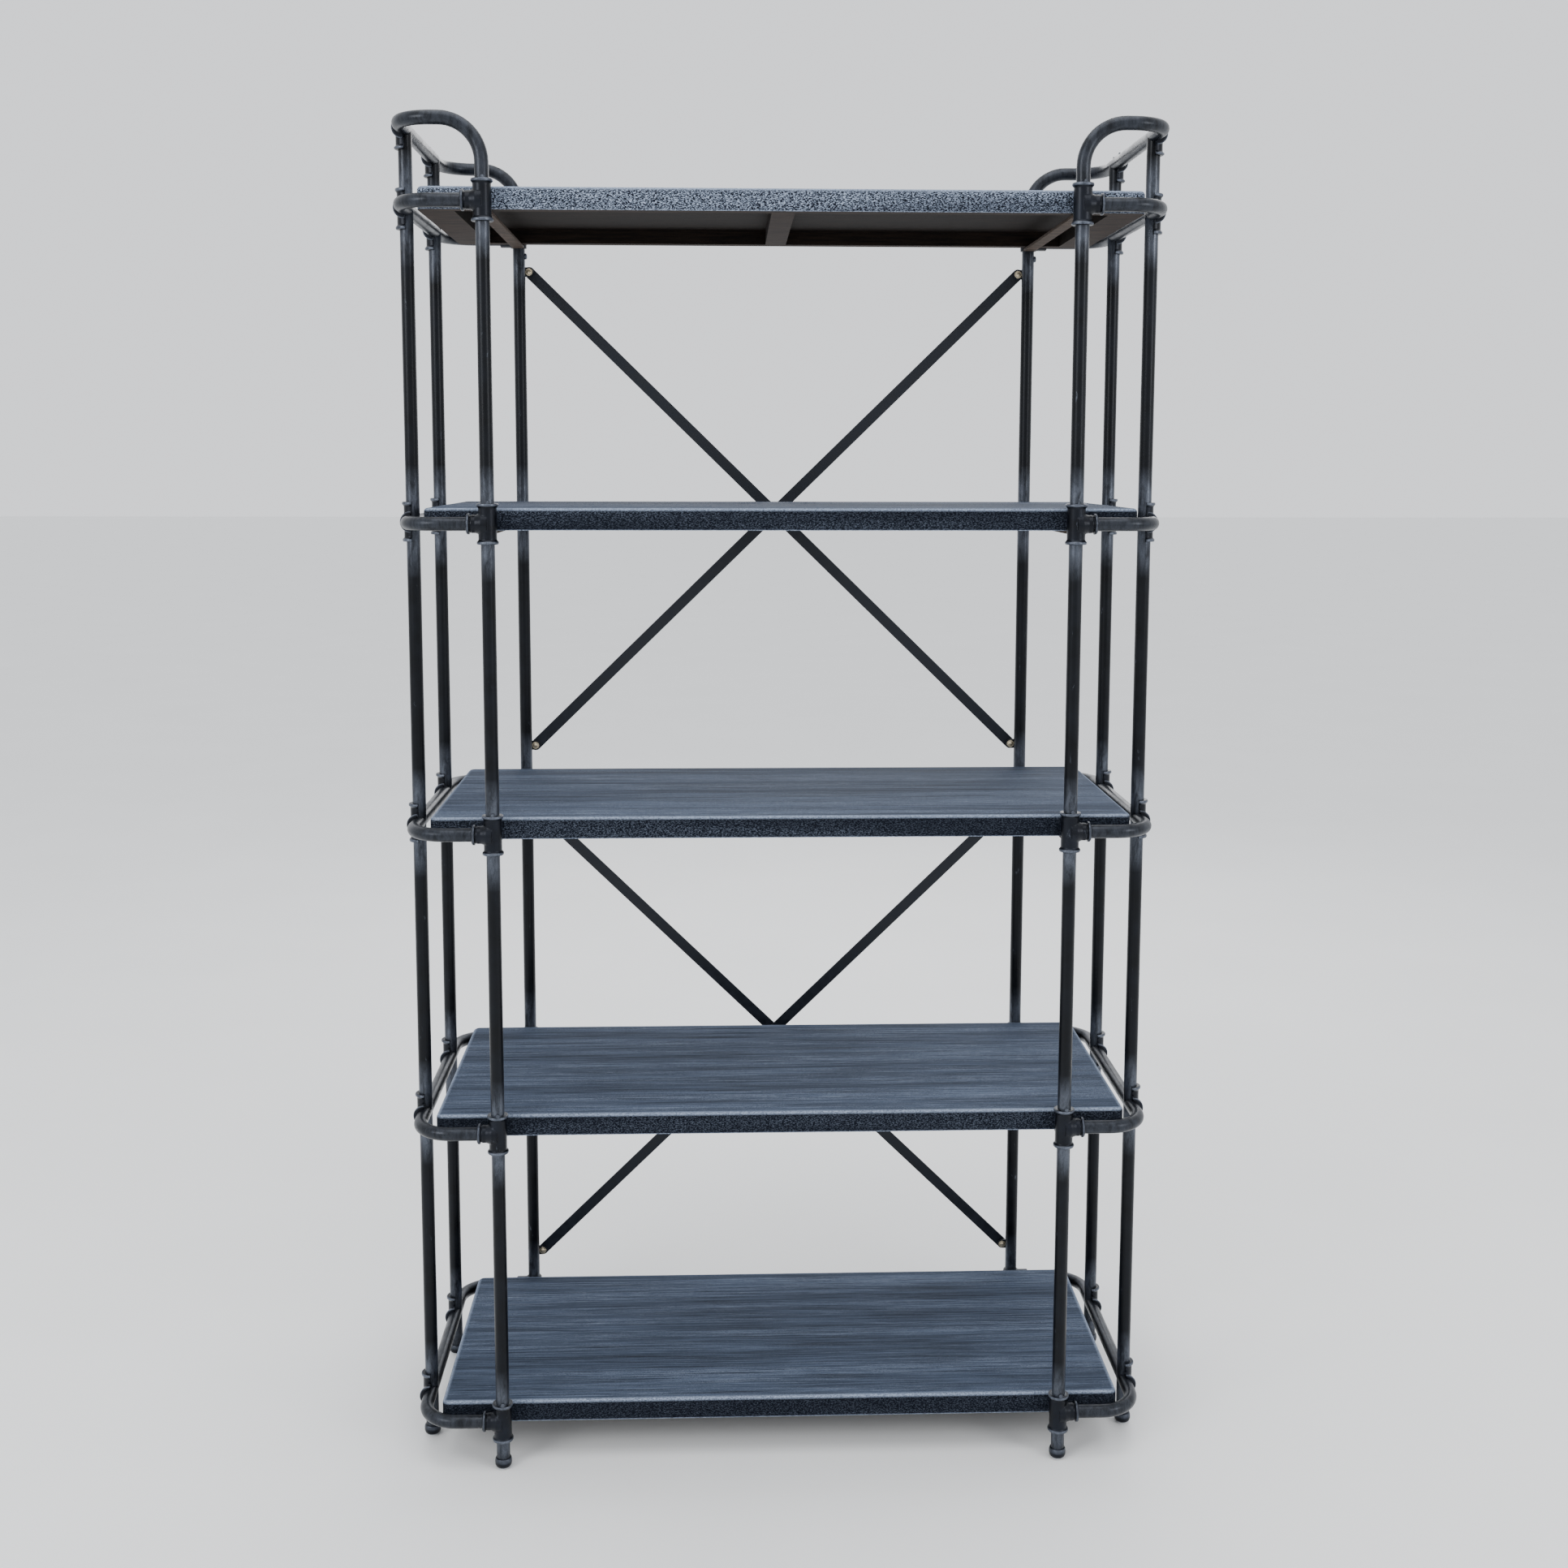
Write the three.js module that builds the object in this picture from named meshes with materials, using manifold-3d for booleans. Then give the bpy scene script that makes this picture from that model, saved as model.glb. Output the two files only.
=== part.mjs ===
// Five-shelf open bookcase: a pipe frame with cast-look collars, bowed side rails,
// loose shelf boards on flat ledgers, and two crossed flat braces at the back.
// Millimetres, +Z up, front towards -Y. The origin is on the floor under the middle.
import * as THREE from 'three';
import { mergeVertices } from 'three/addons/utils/BufferGeometryUtils.js';
import Module from 'manifold-3d';

// ---- driving dimensions -------------------------------------------------------
const LEVELS = 5;                // shelf levels, level 1 at the top
const SHELF_PITCH = 406;         // underside of one board to the next
const BOTTOM_SHELF = 57;         // floor to the underside of the lowest board
const MAIN_SPACING_X = 760;      // main post to main post, left to right
const MAIN_SPACING_Y = 400;      // main post to main post, front to back
const OUTER_OVERHANG = 110;      // main post line to outer post line, sideways
const OUTER_INSET = 87;          // main post line to outer post line, front to back
const TUBE_R = 9;                // posts and rails
const TUBE_WALL = 1.6;
const BEND_R = 48;               // plan bends of the side rails and top rails
const TOP_RISE = 101;            // top rail centre above the top side rail centre
const TOP_BEND_R = 54;           // upright bends of the top rails

const SHELF_END_GAP = 25;        // board end to the outer post line
const SHELF_THICKNESS = 29;
const SHELF_SKIN = 9;            // top board over the hollow underside
const SHELF_EDGE_R = 6;          // rounding along the top edges
const SHELF_CORNER_R = 10;       // least rounding of the upright corners
const APRON = 20;                // front and back aprons
const END_BOARD = 45;
const BATTEN = 30;
const LIFT_GAP = 0.8;            // board edge to the collar rings
const BEND_GAP = 1.5;            // board corner to the rail's bend, at least

const LEDGER_WIDTH = 17;
const LEDGER_THICKNESS = 4;

const COLLAR_HEIGHT = 53;        // cast collar on a front main post, and a cover on an outer one
const SLEEVE_HEIGHT = 26;        // plain sleeve on a rear main post
const COLLAR_WALL = 2.2;
const RING_PROUD = 2.3;          // ring beyond the collar wall
const RING_HEIGHT = 6;
const BRANCH_REACH = 27;         // post axis to the outer face of the branch ring
const CROSS_REACH = 21;          // half shell along the rail, from the outer post axis
const SADDLE_DROP = 26;          // half shell under the top rail
const FIT = 0.35;                // gap between pieces that touch

const FOOT_PROUD = 2.5;          // foot cap beyond the tube
const FOOT_HEIGHT = 15;
const FOOT_SOCKET = 9;           // depth of the post inside the foot
const FOOT_ROUNDING = 0.8;       // rounding of the foot cap's upper edge
const SOLE_R = 8;

const BRACE_WIDTH = 16;
const BRACE_THICKNESS = 2.2;
const BRACE_TOP_DROP = 37;       // end bolt below the underside of the board above
const BRACE_BOTTOM_RISE = 61;    // end bolt above the underside of the board below
const LUG_WIDTH = 18;
const LUG_THICKNESS = 2.2;
const BOLT_R = 2.5;
const HEAD_R = 5.4;
const HEAD_HEIGHT = 2;
const HEAD_OVERLAP = 1;          // end bolt's rim behind the outline of the post
const HEAD_FLAT = 0.8;           // straight rim of a bolt head
const HEAD_CROWN_R = 3.2;        // flat crown of a bolt head
const NUT_R = 4.9;

const SIDES = 12;                // facets round a tube
const BOLT_SIDES = 8;            // facets round a bolt
const NUT_SIDES = 6;
const CURVE_STEPS = 3;           // facets of a board's rounded edge
const BEND_STEPS = 4;            // facets of a bend
const COLLAR_SIDES = 8;          // facets round a cast collar or cover
const SLIVER = 0.02;             // edges shorter than this are merged away
const OVERRUN = 1;               // cutting tools reach this far past what they cut
const WELD = 0.5;                // shared depth of two shapes that are joined
const BORE_SIDES = 6;            // facets of a rail's inside

// ---- derived places -----------------------------------------------------------
const levels = Array.from({ length: LEVELS }, (_, i) => i + 1);
const undersideOf = (level) => BOTTOM_SHELF + (LEVELS - level) * SHELF_PITCH;
const railZ = (level) => undersideOf(level) + TUBE_R;
const topZ = railZ(1) + TOP_RISE;
const mainX = MAIN_SPACING_X / 2;
const mainY = MAIN_SPACING_Y / 2;
const outerX = mainX + OUTER_OVERHANG;
const outerY = mainY - OUTER_INSET;
const boreR = (TUBE_R + FIT) / Math.cos(Math.PI / SIDES);
const collarR = boreR + COLLAR_WALL;
const ringR = collarR + RING_PROUD;
const footR = TUBE_R + FOOT_PROUD;
const shelfLength = 2 * (outerX - SHELF_END_GAP);
const shelfDepth = 2 * (mainY - ringR - LIFT_GAP);
const boltInset = TUBE_R + HEAD_R - HEAD_OVERLAP;  // post axis to the end bolt
const lugReach = boltInset + LUG_WIDTH / 2;        // post axis to the lug's tip
const lugBack = mainY + TUBE_R;                    // the lugs lie flush with the back of the post
const risingFront = lugBack + FIT;                 // front face of the rising bars
const fallingFront = risingFront + BRACE_THICKNESS + FIT;
// Board corner radius whose arc just clears the rail's bend.
const edgeGap = mainY - shelfDepth / 2;
const bendReach = TUBE_R + BEND_GAP;
const gapSum = SHELF_END_GAP + edgeGap - bendReach;
const cornerShift = gapSum
  + Math.sqrt(gapSum ** 2 - (SHELF_END_GAP ** 2 + edgeGap ** 2 - bendReach ** 2));
const shelfCornerR = Math.max(SHELF_CORNER_R, BEND_R - cornerShift);
const sides = [['left', -1], ['right', 1]];
const ends = [['front', -1], ['rear', 1]];

// ---- solids -------------------------------------------------------------------
const wasm = await Module();
wasm.setup();

function toSolid(geometry) {
  const bare = geometry.index ? geometry.toNonIndexed() : geometry.clone();
  bare.deleteAttribute('normal');
  bare.deleteAttribute('uv');
  const merged = mergeVertices(bare, 1e-4);
  return new wasm.Manifold(new wasm.Mesh({
    numProp: 3,
    vertProperties: new Float32Array(merged.attributes.position.array),
    triVerts: new Uint32Array(merged.index.array),
  }));
}

function toGeometry(solid) {
  const mesh = solid.simplify(SLIVER).getMesh();
  const geometry = new THREE.BufferGeometry();
  geometry.setAttribute('position', new THREE.BufferAttribute(mesh.vertProperties, 3));
  geometry.setIndex(new THREE.BufferAttribute(mesh.triVerts, 1));
  geometry.computeVertexNormals();
  return geometry;
}

const join = (solids) => solids.reduce((whole, piece) => whole.add(piece));
const cut = (solid, tools) => tools.reduce((rest, tool) => rest.subtract(tool), solid);

function box(x0, x1, y0, y1, z0, z1) {
  const geometry = new THREE.BoxGeometry(x1 - x0, y1 - y0, z1 - z0);
  geometry.translate((x0 + x1) / 2, (y0 + y1) / 2, (z0 + z1) / 2);
  return toSolid(geometry);
}

// A turned solid along +Z from [radius, height] corners that start and end on the axis.
function turned(profile, facets = SIDES) {
  return new THREE.LatheGeometry(profile.map(([r, z]) => new THREE.Vector2(r, z)), facets)
    .rotateX(Math.PI / 2);
}

function rod(radius, z0, z1, facets = SIDES) {
  return turned([[0, z0], [radius, z0], [radius, z1], [0, z1]], facets);
}

function rodAt(x, y, z0, z1, radius) {
  return toSolid(rod(radius, z0, z1).translate(x, y, 0));
}

// A straight open tube standing on +Z.
function tubeAt(x, y, z0, z1) {
  const inside = rodAt(x, y, z0 - OVERRUN, z1 + OVERRUN, TUBE_R - TUBE_WALL);
  return rodAt(x, y, z0, z1, TUBE_R).subtract(inside);
}

// Collar profile: wall with a ring at each end.
function collarProfile(half) {
  return [
    [0, -half], [ringR, -half], [ringR, -half + RING_HEIGHT], [collarR, -half + RING_HEIGHT],
    [collarR, half - RING_HEIGHT], [ringR, half - RING_HEIGHT], [ringR, half], [0, half],
  ];
}

// ---- swept tubes --------------------------------------------------------------
// A path through exact stations, so that straights take one step and bends a few.
class StationPath extends THREE.Curve {
  constructor(stations) {
    super();
    this.stations = stations;
  }

  getPoint(t) {
    const place = t * (this.stations.length - 1);
    const index = Math.min(Math.floor(place), this.stations.length - 2);
    return this.stations[index].clone().lerp(this.stations[index + 1], place - index);
  }

  getPointAt(u) {
    return this.getPoint(u);
  }

  getTangentAt(u) {
    const last = this.stations.length - 1;
    const index = Math.round(u * last);
    const before = this.stations[Math.max(index - 1, 0)];
    const after = this.stations[Math.min(index + 1, last)];
    const here = this.stations[index];
    const tangent = new THREE.Vector3();
    if (index > 0) tangent.add(here.clone().sub(before).normalize());
    if (index < last) tangent.add(after.clone().sub(here).normalize());
    return tangent.normalize();
  }
}

// Stations along corners that are rounded to the given radii.
function roundedPath(corners, radii) {
  const stations = [corners[0]];
  for (let i = 1; i < corners.length - 1; i++) {
    const inward = corners[i].clone().sub(corners[i - 1]).normalize();
    const onward = corners[i + 1].clone().sub(corners[i]).normalize();
    const angle = inward.angleTo(onward);
    const reach = radii[i - 1] * Math.tan(angle / 2);
    const start = corners[i].clone().addScaledVector(inward, -reach);
    const side = onward.clone().addScaledVector(inward, -onward.dot(inward)).normalize();
    const centre = start.clone().addScaledVector(side, radii[i - 1]);
    for (let step = 0; step <= BEND_STEPS; step++) {
      const turn = (angle * step) / BEND_STEPS;
      stations.push(centre.clone()
        .addScaledVector(side, -radii[i - 1] * Math.cos(turn))
        .addScaledVector(inward, radii[i - 1] * Math.sin(turn)));
    }
  }
  stations.push(corners[corners.length - 1]);
  return new StationPath(stations);
}

function circle(radius, facets) {
  return Array.from({ length: facets }, (_, i) => {
    const angle = ((i + 0.5) * 2 * Math.PI) / facets;
    return new THREE.Vector2(radius * Math.cos(angle), radius * Math.sin(angle));
  });
}

function sweptTube(path) {
  const section = new THREE.Shape(circle(TUBE_R, SIDES));
  section.holes.push(new THREE.Path(circle(TUBE_R - TUBE_WALL, BORE_SIDES)));
  const steps = path.stations.length - 1;
  return toSolid(new THREE.ExtrudeGeometry(section, { steps, extrudePath: path }));
}

// ---- pieces -------------------------------------------------------------------
// Keeps the half of a casting that faces away from the boards, for a post at the origin.
function outboardHalf(casting, side) {
  const reach = 2 * COLLAR_HEIGHT;
  return casting.intersect(box(
    Math.min(0, reach * side), Math.max(0, reach * side), -reach, reach, -reach, reach,
  ));
}

// Ringed casting along a rail at the origin.
const alongRail = () =>
  toSolid(turned(collarProfile(CROSS_REACH), COLLAR_SIDES).rotateX(Math.PI / 2));

// Cast cover on the outboard half of an outer post, where a side rail crosses it.
function crossCover(side, y, z) {
  const upright = toSolid(turned(collarProfile(COLLAR_HEIGHT / 2), COLLAR_SIDES));
  return outboardHalf(upright.add(alongRail()), side).translate([outerX * side, y, z]);
}

// Cast saddle on the outboard half of an outer post, under a top rail.
function saddle(side, y) {
  const under = toSolid(turned([
    [0, -SADDLE_DROP], [ringR, -SADDLE_DROP], [ringR, -SADDLE_DROP + RING_HEIGHT],
    [collarR, -SADDLE_DROP + RING_HEIGHT], [collarR, 0], [0, 0],
  ], COLLAR_SIDES));
  return outboardHalf(alongRail().add(under), side).translate([outerX * side, y, topZ]);
}

const outerPostHole = (side, y, z0, z1) => rodAt(outerX * side, y, z0, z1, boreR);

// Bowed side rail between the front and rear collars of one level.
function sideRail(side, level) {
  const z = railZ(level);
  const start = mainX + boreR + FIT;
  const path = roundedPath([
    new THREE.Vector3(start * side, -mainY, z), new THREE.Vector3(outerX * side, -mainY, z),
    new THREE.Vector3(outerX * side, mainY, z), new THREE.Vector3(start * side, mainY, z),
  ], [BEND_R, BEND_R]);
  const covers = ends.map(([, end]) => crossCover(side, outerY * end, z));
  const holes = ends.map(([, end]) =>
    outerPostHole(side, outerY * end, z - COLLAR_HEIGHT, z + COLLAR_HEIGHT));
  return cut(join([sweptTube(path), ...covers]), holes);
}

// Top rail: out of the front collar, up, bowed outwards, back and down into the rear collar.
function topRail(side) {
  const base = railZ(1) + FIT;
  const path = roundedPath([
    new THREE.Vector3(mainX * side, -mainY, base), new THREE.Vector3(mainX * side, -mainY, topZ),
    new THREE.Vector3(outerX * side, -mainY, topZ), new THREE.Vector3(outerX * side, mainY, topZ),
    new THREE.Vector3(mainX * side, mainY, topZ), new THREE.Vector3(mainX * side, mainY, base),
  ], [TOP_BEND_R, BEND_R, BEND_R, TOP_BEND_R]);
  const saddles = ends.map(([, end]) => saddle(side, outerY * end));
  const holes = ends.map(([, end]) =>
    outerPostHole(side, outerY * end, topZ - 2 * SADDLE_DROP, topZ));
  return cut(join([sweptTube(path), ...saddles]), holes);
}

// Flat ledger bar with a ringed tee at its front end and a plain sleeve at its rear end. Both hold
// a post and one end of the side rail.
function shelfBracket(side, level) {
  const z = railZ(level);
  const x = mainX * side;
  const ledgerTop = undersideOf(level) - FIT;
  const ledger = box(x - LEDGER_WIDTH / 2, x + LEDGER_WIDTH / 2, -mainY, mainY,
    ledgerTop - LEDGER_THICKNESS, ledgerTop);
  const ringedBranch = [
    [0, 0], [collarR, 0], [collarR, BRANCH_REACH - RING_HEIGHT],
    [ringR, BRANCH_REACH - RING_HEIGHT], [ringR, BRANCH_REACH], [0, BRANCH_REACH],
  ];
  const branchOf = (profile) =>
    toSolid(turned(profile, COLLAR_SIDES).rotateY((Math.PI / 2) * side));
  const frontTee = toSolid(turned(collarProfile(COLLAR_HEIGHT / 2), COLLAR_SIDES))
    .add(branchOf(ringedBranch)).translate([x, -mainY, z]);
  const rearSleeve = toSolid(rod(collarR, -SLEEVE_HEIGHT / 2, SLEEVE_HEIGHT / 2, COLLAR_SIDES))
    .add(branchOf([[0, 0], [collarR, 0], [collarR, BRANCH_REACH], [0, BRANCH_REACH]]))
    .translate([x, mainY, z]);
  const postBores = ends.map(([, end]) =>
    rodAt(x, mainY * end, z - COLLAR_HEIGHT, z + COLLAR_HEIGHT, boreR));
  const railBores = ends.map(([, end]) =>
    toSolid(rod(boreR, 0, 2 * BRANCH_REACH).rotateY((Math.PI / 2) * side))
      .translate([x, mainY * end, z]));
  return cut(join([ledger, frontTee, rearSleeve]), [...postBores, ...railBores]);
}

// Heights of the brace ends on the rear posts, bay by bay between two shelf levels.
const braceBays = [[1, 3], [3, 5]];
const braceEnds = braceBays.map(([above, below]) => ({
  top: undersideOf(above) - BRACE_TOP_DROP,
  bottom: undersideOf(below) + BRACE_BOTTOM_RISE,
}));

function boltHole(x, z) {
  const reach = 2 * TUBE_R;
  return toSolid(rod(BOLT_R + FIT, -reach, reach, BOLT_SIDES).rotateX(-Math.PI / 2))
    .translate([x, lugBack, z]);
}

// Flat lug welded to the back of a rear post; a falling bar's lug is thicker by one bar.
function lug(side, z, back) {
  const tip = (mainX - lugReach) * side;
  const root = mainX * side;
  return box(Math.min(tip, root), Math.max(tip, root), lugBack - LUG_THICKNESS, back,
    z - LUG_WIDTH / 2, z + LUG_WIDTH / 2);
}

function mainPost(side, end) {
  const tube = tubeAt(mainX * side, mainY * end, FOOT_HEIGHT - FOOT_SOCKET, railZ(1) - FIT);
  if (end < 0) return tube;
  const lugs = braceEnds.flatMap(({ top, bottom }) => [
    lug(side, top, side > 0 ? lugBack : fallingFront - FIT),
    lug(side, bottom, side > 0 ? fallingFront - FIT : lugBack),
  ]);
  const heights = braceEnds.flatMap(({ top, bottom }) => [top, bottom]);
  const holes = heights.map((z) => boltHole((mainX - boltInset) * side, z));
  const inside = rodAt(mainX * side, mainY * end, 0, topZ, TUBE_R - TUBE_WALL);
  return cut(join([tube, ...lugs]), [inside, ...holes]);
}

function outerPost(side, end) {
  return tubeAt(outerX * side, outerY * end, FOOT_HEIGHT - FOOT_SOCKET, topZ - FIT);
}

// Rounded foot cap under a post, with a socket for the post and a flat sole.
function foot(x, y) {
  const profile = [
    [0, 0], [SOLE_R, 0], [footR, footR - SOLE_R], [footR, FOOT_HEIGHT - FOOT_ROUNDING],
    [footR - FOOT_ROUNDING, FOOT_HEIGHT], [0, FOOT_HEIGHT],
  ];
  const socket = rod(boreR, FOOT_HEIGHT - FOOT_SOCKET - FIT, FOOT_HEIGHT + OVERRUN);
  return toSolid(turned(profile)).subtract(toSolid(socket)).translate([x, y, 0]);
}

// Board with rounded top edges, hollow underneath between aprons, end boards and a batten.
function shelf(level) {
  const z = undersideOf(level);
  const halfX = shelfLength / 2;
  const halfY = shelfDepth / 2;
  const section = new THREE.Shape();
  const top = SHELF_THICKNESS;
  section.moveTo(-halfY, 0).lineTo(halfY, 0).lineTo(halfY, top - SHELF_EDGE_R);
  section.absarc(halfY - SHELF_EDGE_R, top - SHELF_EDGE_R, SHELF_EDGE_R, 0, Math.PI / 2);
  section.absarc(-halfY + SHELF_EDGE_R, top - SHELF_EDGE_R, SHELF_EDGE_R, Math.PI / 2, Math.PI);
  section.closePath();
  const slab = new THREE.ExtrudeGeometry(section, {
    depth: shelfLength, bevelEnabled: false, curveSegments: CURVE_STEPS,
  }).rotateX(Math.PI / 2).rotateZ(Math.PI / 2).translate(-halfX, 0, 0);
  const plan = new THREE.Shape();
  const arcX = halfX - shelfCornerR;
  const arcY = halfY - shelfCornerR;
  [[arcX, -arcY], [arcX, arcY], [-arcX, arcY], [-arcX, -arcY]].forEach(([x, y], corner) => {
    const start = ((corner - 1) * Math.PI) / 2;
    plan.absarc(x, y, shelfCornerR, start, start + Math.PI / 2);
  });
  plan.closePath();
  const outline = new THREE.ExtrudeGeometry(plan, {
    depth: 2 * SHELF_THICKNESS, bevelEnabled: false, curveSegments: CURVE_STEPS,
  }).translate(0, 0, -SHELF_THICKNESS / 2);
  const pockets = sides.map(([, side]) => {
    const near = (BATTEN / 2) * side;
    const far = (halfX - END_BOARD) * side;
    return box(Math.min(near, far), Math.max(near, far), -halfY + APRON, halfY - APRON,
      -OVERRUN, SHELF_THICKNESS - SHELF_SKIN);
  });
  return cut(toSolid(slab).intersect(toSolid(outline)), pockets).translate([0, 0, z]);
}

// Diagonal flat bar with round ends. Rising runs up to the right, falling passes behind it.
function brace({ top, bottom }, rising) {
  const run = MAIN_SPACING_X - 2 * boltInset;
  const rise = top - bottom;
  const endX = Math.hypot(run, rise) / 2;
  const endR = BRACE_WIDTH / 2;
  const outline = new THREE.Shape();
  outline.absarc(endX, 0, endR, -Math.PI / 2, Math.PI / 2);
  outline.absarc(-endX, 0, endR, Math.PI / 2, (3 * Math.PI) / 2);
  outline.closePath();
  const tilt = Math.atan2(rise, run) * (rising ? 1 : -1);
  const bar = toSolid(new THREE.ExtrudeGeometry(outline, {
    depth: BRACE_THICKNESS, bevelEnabled: false, curveSegments: BEND_STEPS,
  }).rotateZ(tilt).rotateX(Math.PI / 2).translate(0, BRACE_THICKNESS, 0))
    .translate([0, rising ? risingFront : fallingFront, (top + bottom) / 2]);
  const sideOfTop = rising ? 1 : -1;
  return cut(bar, [
    boltHole((run / 2) * sideOfTop, top),
    boltHole((-run / 2) * sideOfTop, bottom),
    boltHole(0, (top + bottom) / 2),
  ]);
}

// Bolt along Y through a stack of plates, with a crowned head in front of it and a nut behind it.
function bolt(x, z, front, back) {
  const seat = front - FIT;
  const head = turned([
    [0, seat - HEAD_HEIGHT], [HEAD_CROWN_R, seat - HEAD_HEIGHT], [HEAD_R, seat - HEAD_FLAT],
    [HEAD_R, seat], [0, seat],
  ], BOLT_SIDES);
  const shank = rod(BOLT_R, seat - WELD, back + FIT + WELD, BOLT_SIDES);
  const nut = rod(NUT_R, back + FIT, back + FIT + HEAD_HEIGHT, NUT_SIDES);
  return join([head, shank, nut].map(toSolid)).rotate([-90, 0, 0]).translate([x, 0, z]);
}

// ---- assembly -----------------------------------------------------------------
const frameMetal = { color: 0x2b303a, roughness: 0.5, metalness: 0.75 };
const finishes = {
  frame: frameMetal,
  collar: { color: 0x343b47, roughness: 0.42, metalness: 0.8 },
  ledger: { color: 0x3a3d42, roughness: 0.5, metalness: 0.75 },
  board: { color: 0x454b55, roughness: 0.6, metalness: 0.1 },
  brace: { color: 0x1e232d, roughness: 0.5, metalness: 0.7 },
  bolt: { color: 0xb9a888, roughness: 0.35, metalness: 0.9 },
  foot: { color: 0x2b303a, roughness: 0.5, metalness: 0.6 },
};

const bookcase = new THREE.Group();

function place(name, solid, finish) {
  const mesh = new THREE.Mesh(toGeometry(solid), new THREE.MeshStandardMaterial(finishes[finish]));
  mesh.name = name;
  bookcase.add(mesh);
}

for (const [sideName, side] of sides) {
  for (const [endName, end] of ends) {
    place(`main_post_${endName}_${sideName}`, mainPost(side, end), 'frame');
    place(`outer_post_${endName}_${sideName}`, outerPost(side, end), 'frame');
    place(`main_foot_${endName}_${sideName}`, foot(mainX * side, mainY * end), 'foot');
    place(`outer_foot_${endName}_${sideName}`, foot(outerX * side, outerY * end), 'foot');
  }
  place(`top_rail_${sideName}`, topRail(side), 'frame');
  for (const level of levels) {
    place(`side_rail_${level}_${sideName}`, sideRail(side, level), 'frame');
    place(`shelf_bracket_${level}_${sideName}`, shelfBracket(side, level), 'collar');
  }
}

for (const level of levels) place(`shelf_board_${level}`, shelf(level), 'board');

const risingBack = risingFront + BRACE_THICKNESS;
const fallingBack = fallingFront + BRACE_THICKNESS;
const lugFront = lugBack - LUG_THICKNESS;
braceEnds.forEach((bay, index) => {
  const bayName = index === 0 ? 'upper' : 'lower';
  place(`${bayName}_brace_rising`, brace(bay, true), 'brace');
  place(`${bayName}_brace_falling`, brace(bay, false), 'brace');
  place(`${bayName}_brace_centre_bolt`,
    bolt(0, (bay.top + bay.bottom) / 2, risingFront, fallingBack), 'bolt');
  for (const [sideName, side] of sides) {
    const x = (mainX - boltInset) * side;
    const topBack = side > 0 ? risingBack : fallingBack;
    const bottomBack = side > 0 ? fallingBack : risingBack;
    place(`${bayName}_brace_bolt_top_${sideName}`, bolt(x, bay.top, lugFront, topBack), 'bolt');
    place(`${bayName}_brace_bolt_bottom_${sideName}`, bolt(x, bay.bottom, lugFront, bottomBack), 'bolt');
  }
});

export default bookcase;
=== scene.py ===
"""Looks for a five-shelf pipe bookcase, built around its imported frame.

Every piece takes its place from the frame's nodes. The pipework is drawn out ring by ring and
spun round its bends, the cast collars are turned and fused, and the boards are bevelled blocks.
"""
import logging
import math
from contextlib import contextmanager
from dataclasses import dataclass
from enum import Enum
from typing import Callable, Iterator

import bpy
from bpy.types import Material, MeshPolygon, Node, NodeSocket, NodeTree, Object
from mathutils import Matrix, Vector


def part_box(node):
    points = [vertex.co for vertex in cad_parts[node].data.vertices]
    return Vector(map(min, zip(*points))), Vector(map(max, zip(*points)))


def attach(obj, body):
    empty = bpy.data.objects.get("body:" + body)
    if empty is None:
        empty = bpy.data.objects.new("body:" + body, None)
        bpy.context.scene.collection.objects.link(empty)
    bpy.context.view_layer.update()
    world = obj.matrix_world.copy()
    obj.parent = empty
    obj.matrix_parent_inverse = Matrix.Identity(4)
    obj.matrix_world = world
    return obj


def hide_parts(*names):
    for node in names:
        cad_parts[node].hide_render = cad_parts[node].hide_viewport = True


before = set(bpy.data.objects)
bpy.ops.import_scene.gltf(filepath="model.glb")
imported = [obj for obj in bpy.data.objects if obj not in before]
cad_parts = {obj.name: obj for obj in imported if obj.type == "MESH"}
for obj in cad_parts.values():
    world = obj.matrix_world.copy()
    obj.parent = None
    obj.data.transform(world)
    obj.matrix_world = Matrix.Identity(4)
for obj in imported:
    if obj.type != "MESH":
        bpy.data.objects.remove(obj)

LOG = logging.getLogger("bookcase")
MM = 0.001
LEVELS = range(1, 6)
SIDES = {"left": -1, "right": 1}
ENDS = {"front": -1, "rear": 1}
FRAME_BODY = "frame"
UP = Vector((0, 0, 1))
RIGHT = Vector((1, 0, 0))
BACK = Vector((0, 1, 0))


class Finish(Enum):
    """Names of the finishes, each a material of the same name."""

    PIPE = "blackened_pipe"
    CASTING = "blackened_casting"
    BAR = "blackened_flat_bar"
    BOARD = "stained_wood_slate"
    UNDERSIDE = "bare_stained_wood"
    # same bare wood as the underside, darker: painted shade in the hollows
    RECESS_SHADE = "bare_wood_recess_painted_shade"
    LEDGER = "worn_ledger"
    ZINC = "zinc_plated_steel"
    GLIDE = "moulded_nylon_glide"
    FLOOR = "matt_white_floor"


# ---- shared modelling steps -----------------------------------------------------------------


def deselect() -> None:
    """Leaves edit mode and selects nothing."""
    if bpy.context.object and bpy.context.object.mode != "OBJECT":
        bpy.ops.object.mode_set(mode="OBJECT")
    bpy.ops.object.select_all(action="DESELECT")


def activate(piece: Object) -> None:
    """Makes one piece the only selected and active one.

    Args:
        piece: the piece to work on.
    """
    deselect()
    piece.select_set(True)
    bpy.context.view_layer.objects.active = piece


@contextmanager
def editing(piece: Object) -> Iterator[Object]:
    """Opens a piece in edit mode and closes it again.

    Args:
        piece: the piece to edit.

    Returns:
        The same piece, while it is open.
    """
    activate(piece)
    bpy.ops.object.mode_set(mode="EDIT")
    try:
        yield piece
    finally:
        bpy.ops.object.mode_set(mode="OBJECT")


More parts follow.
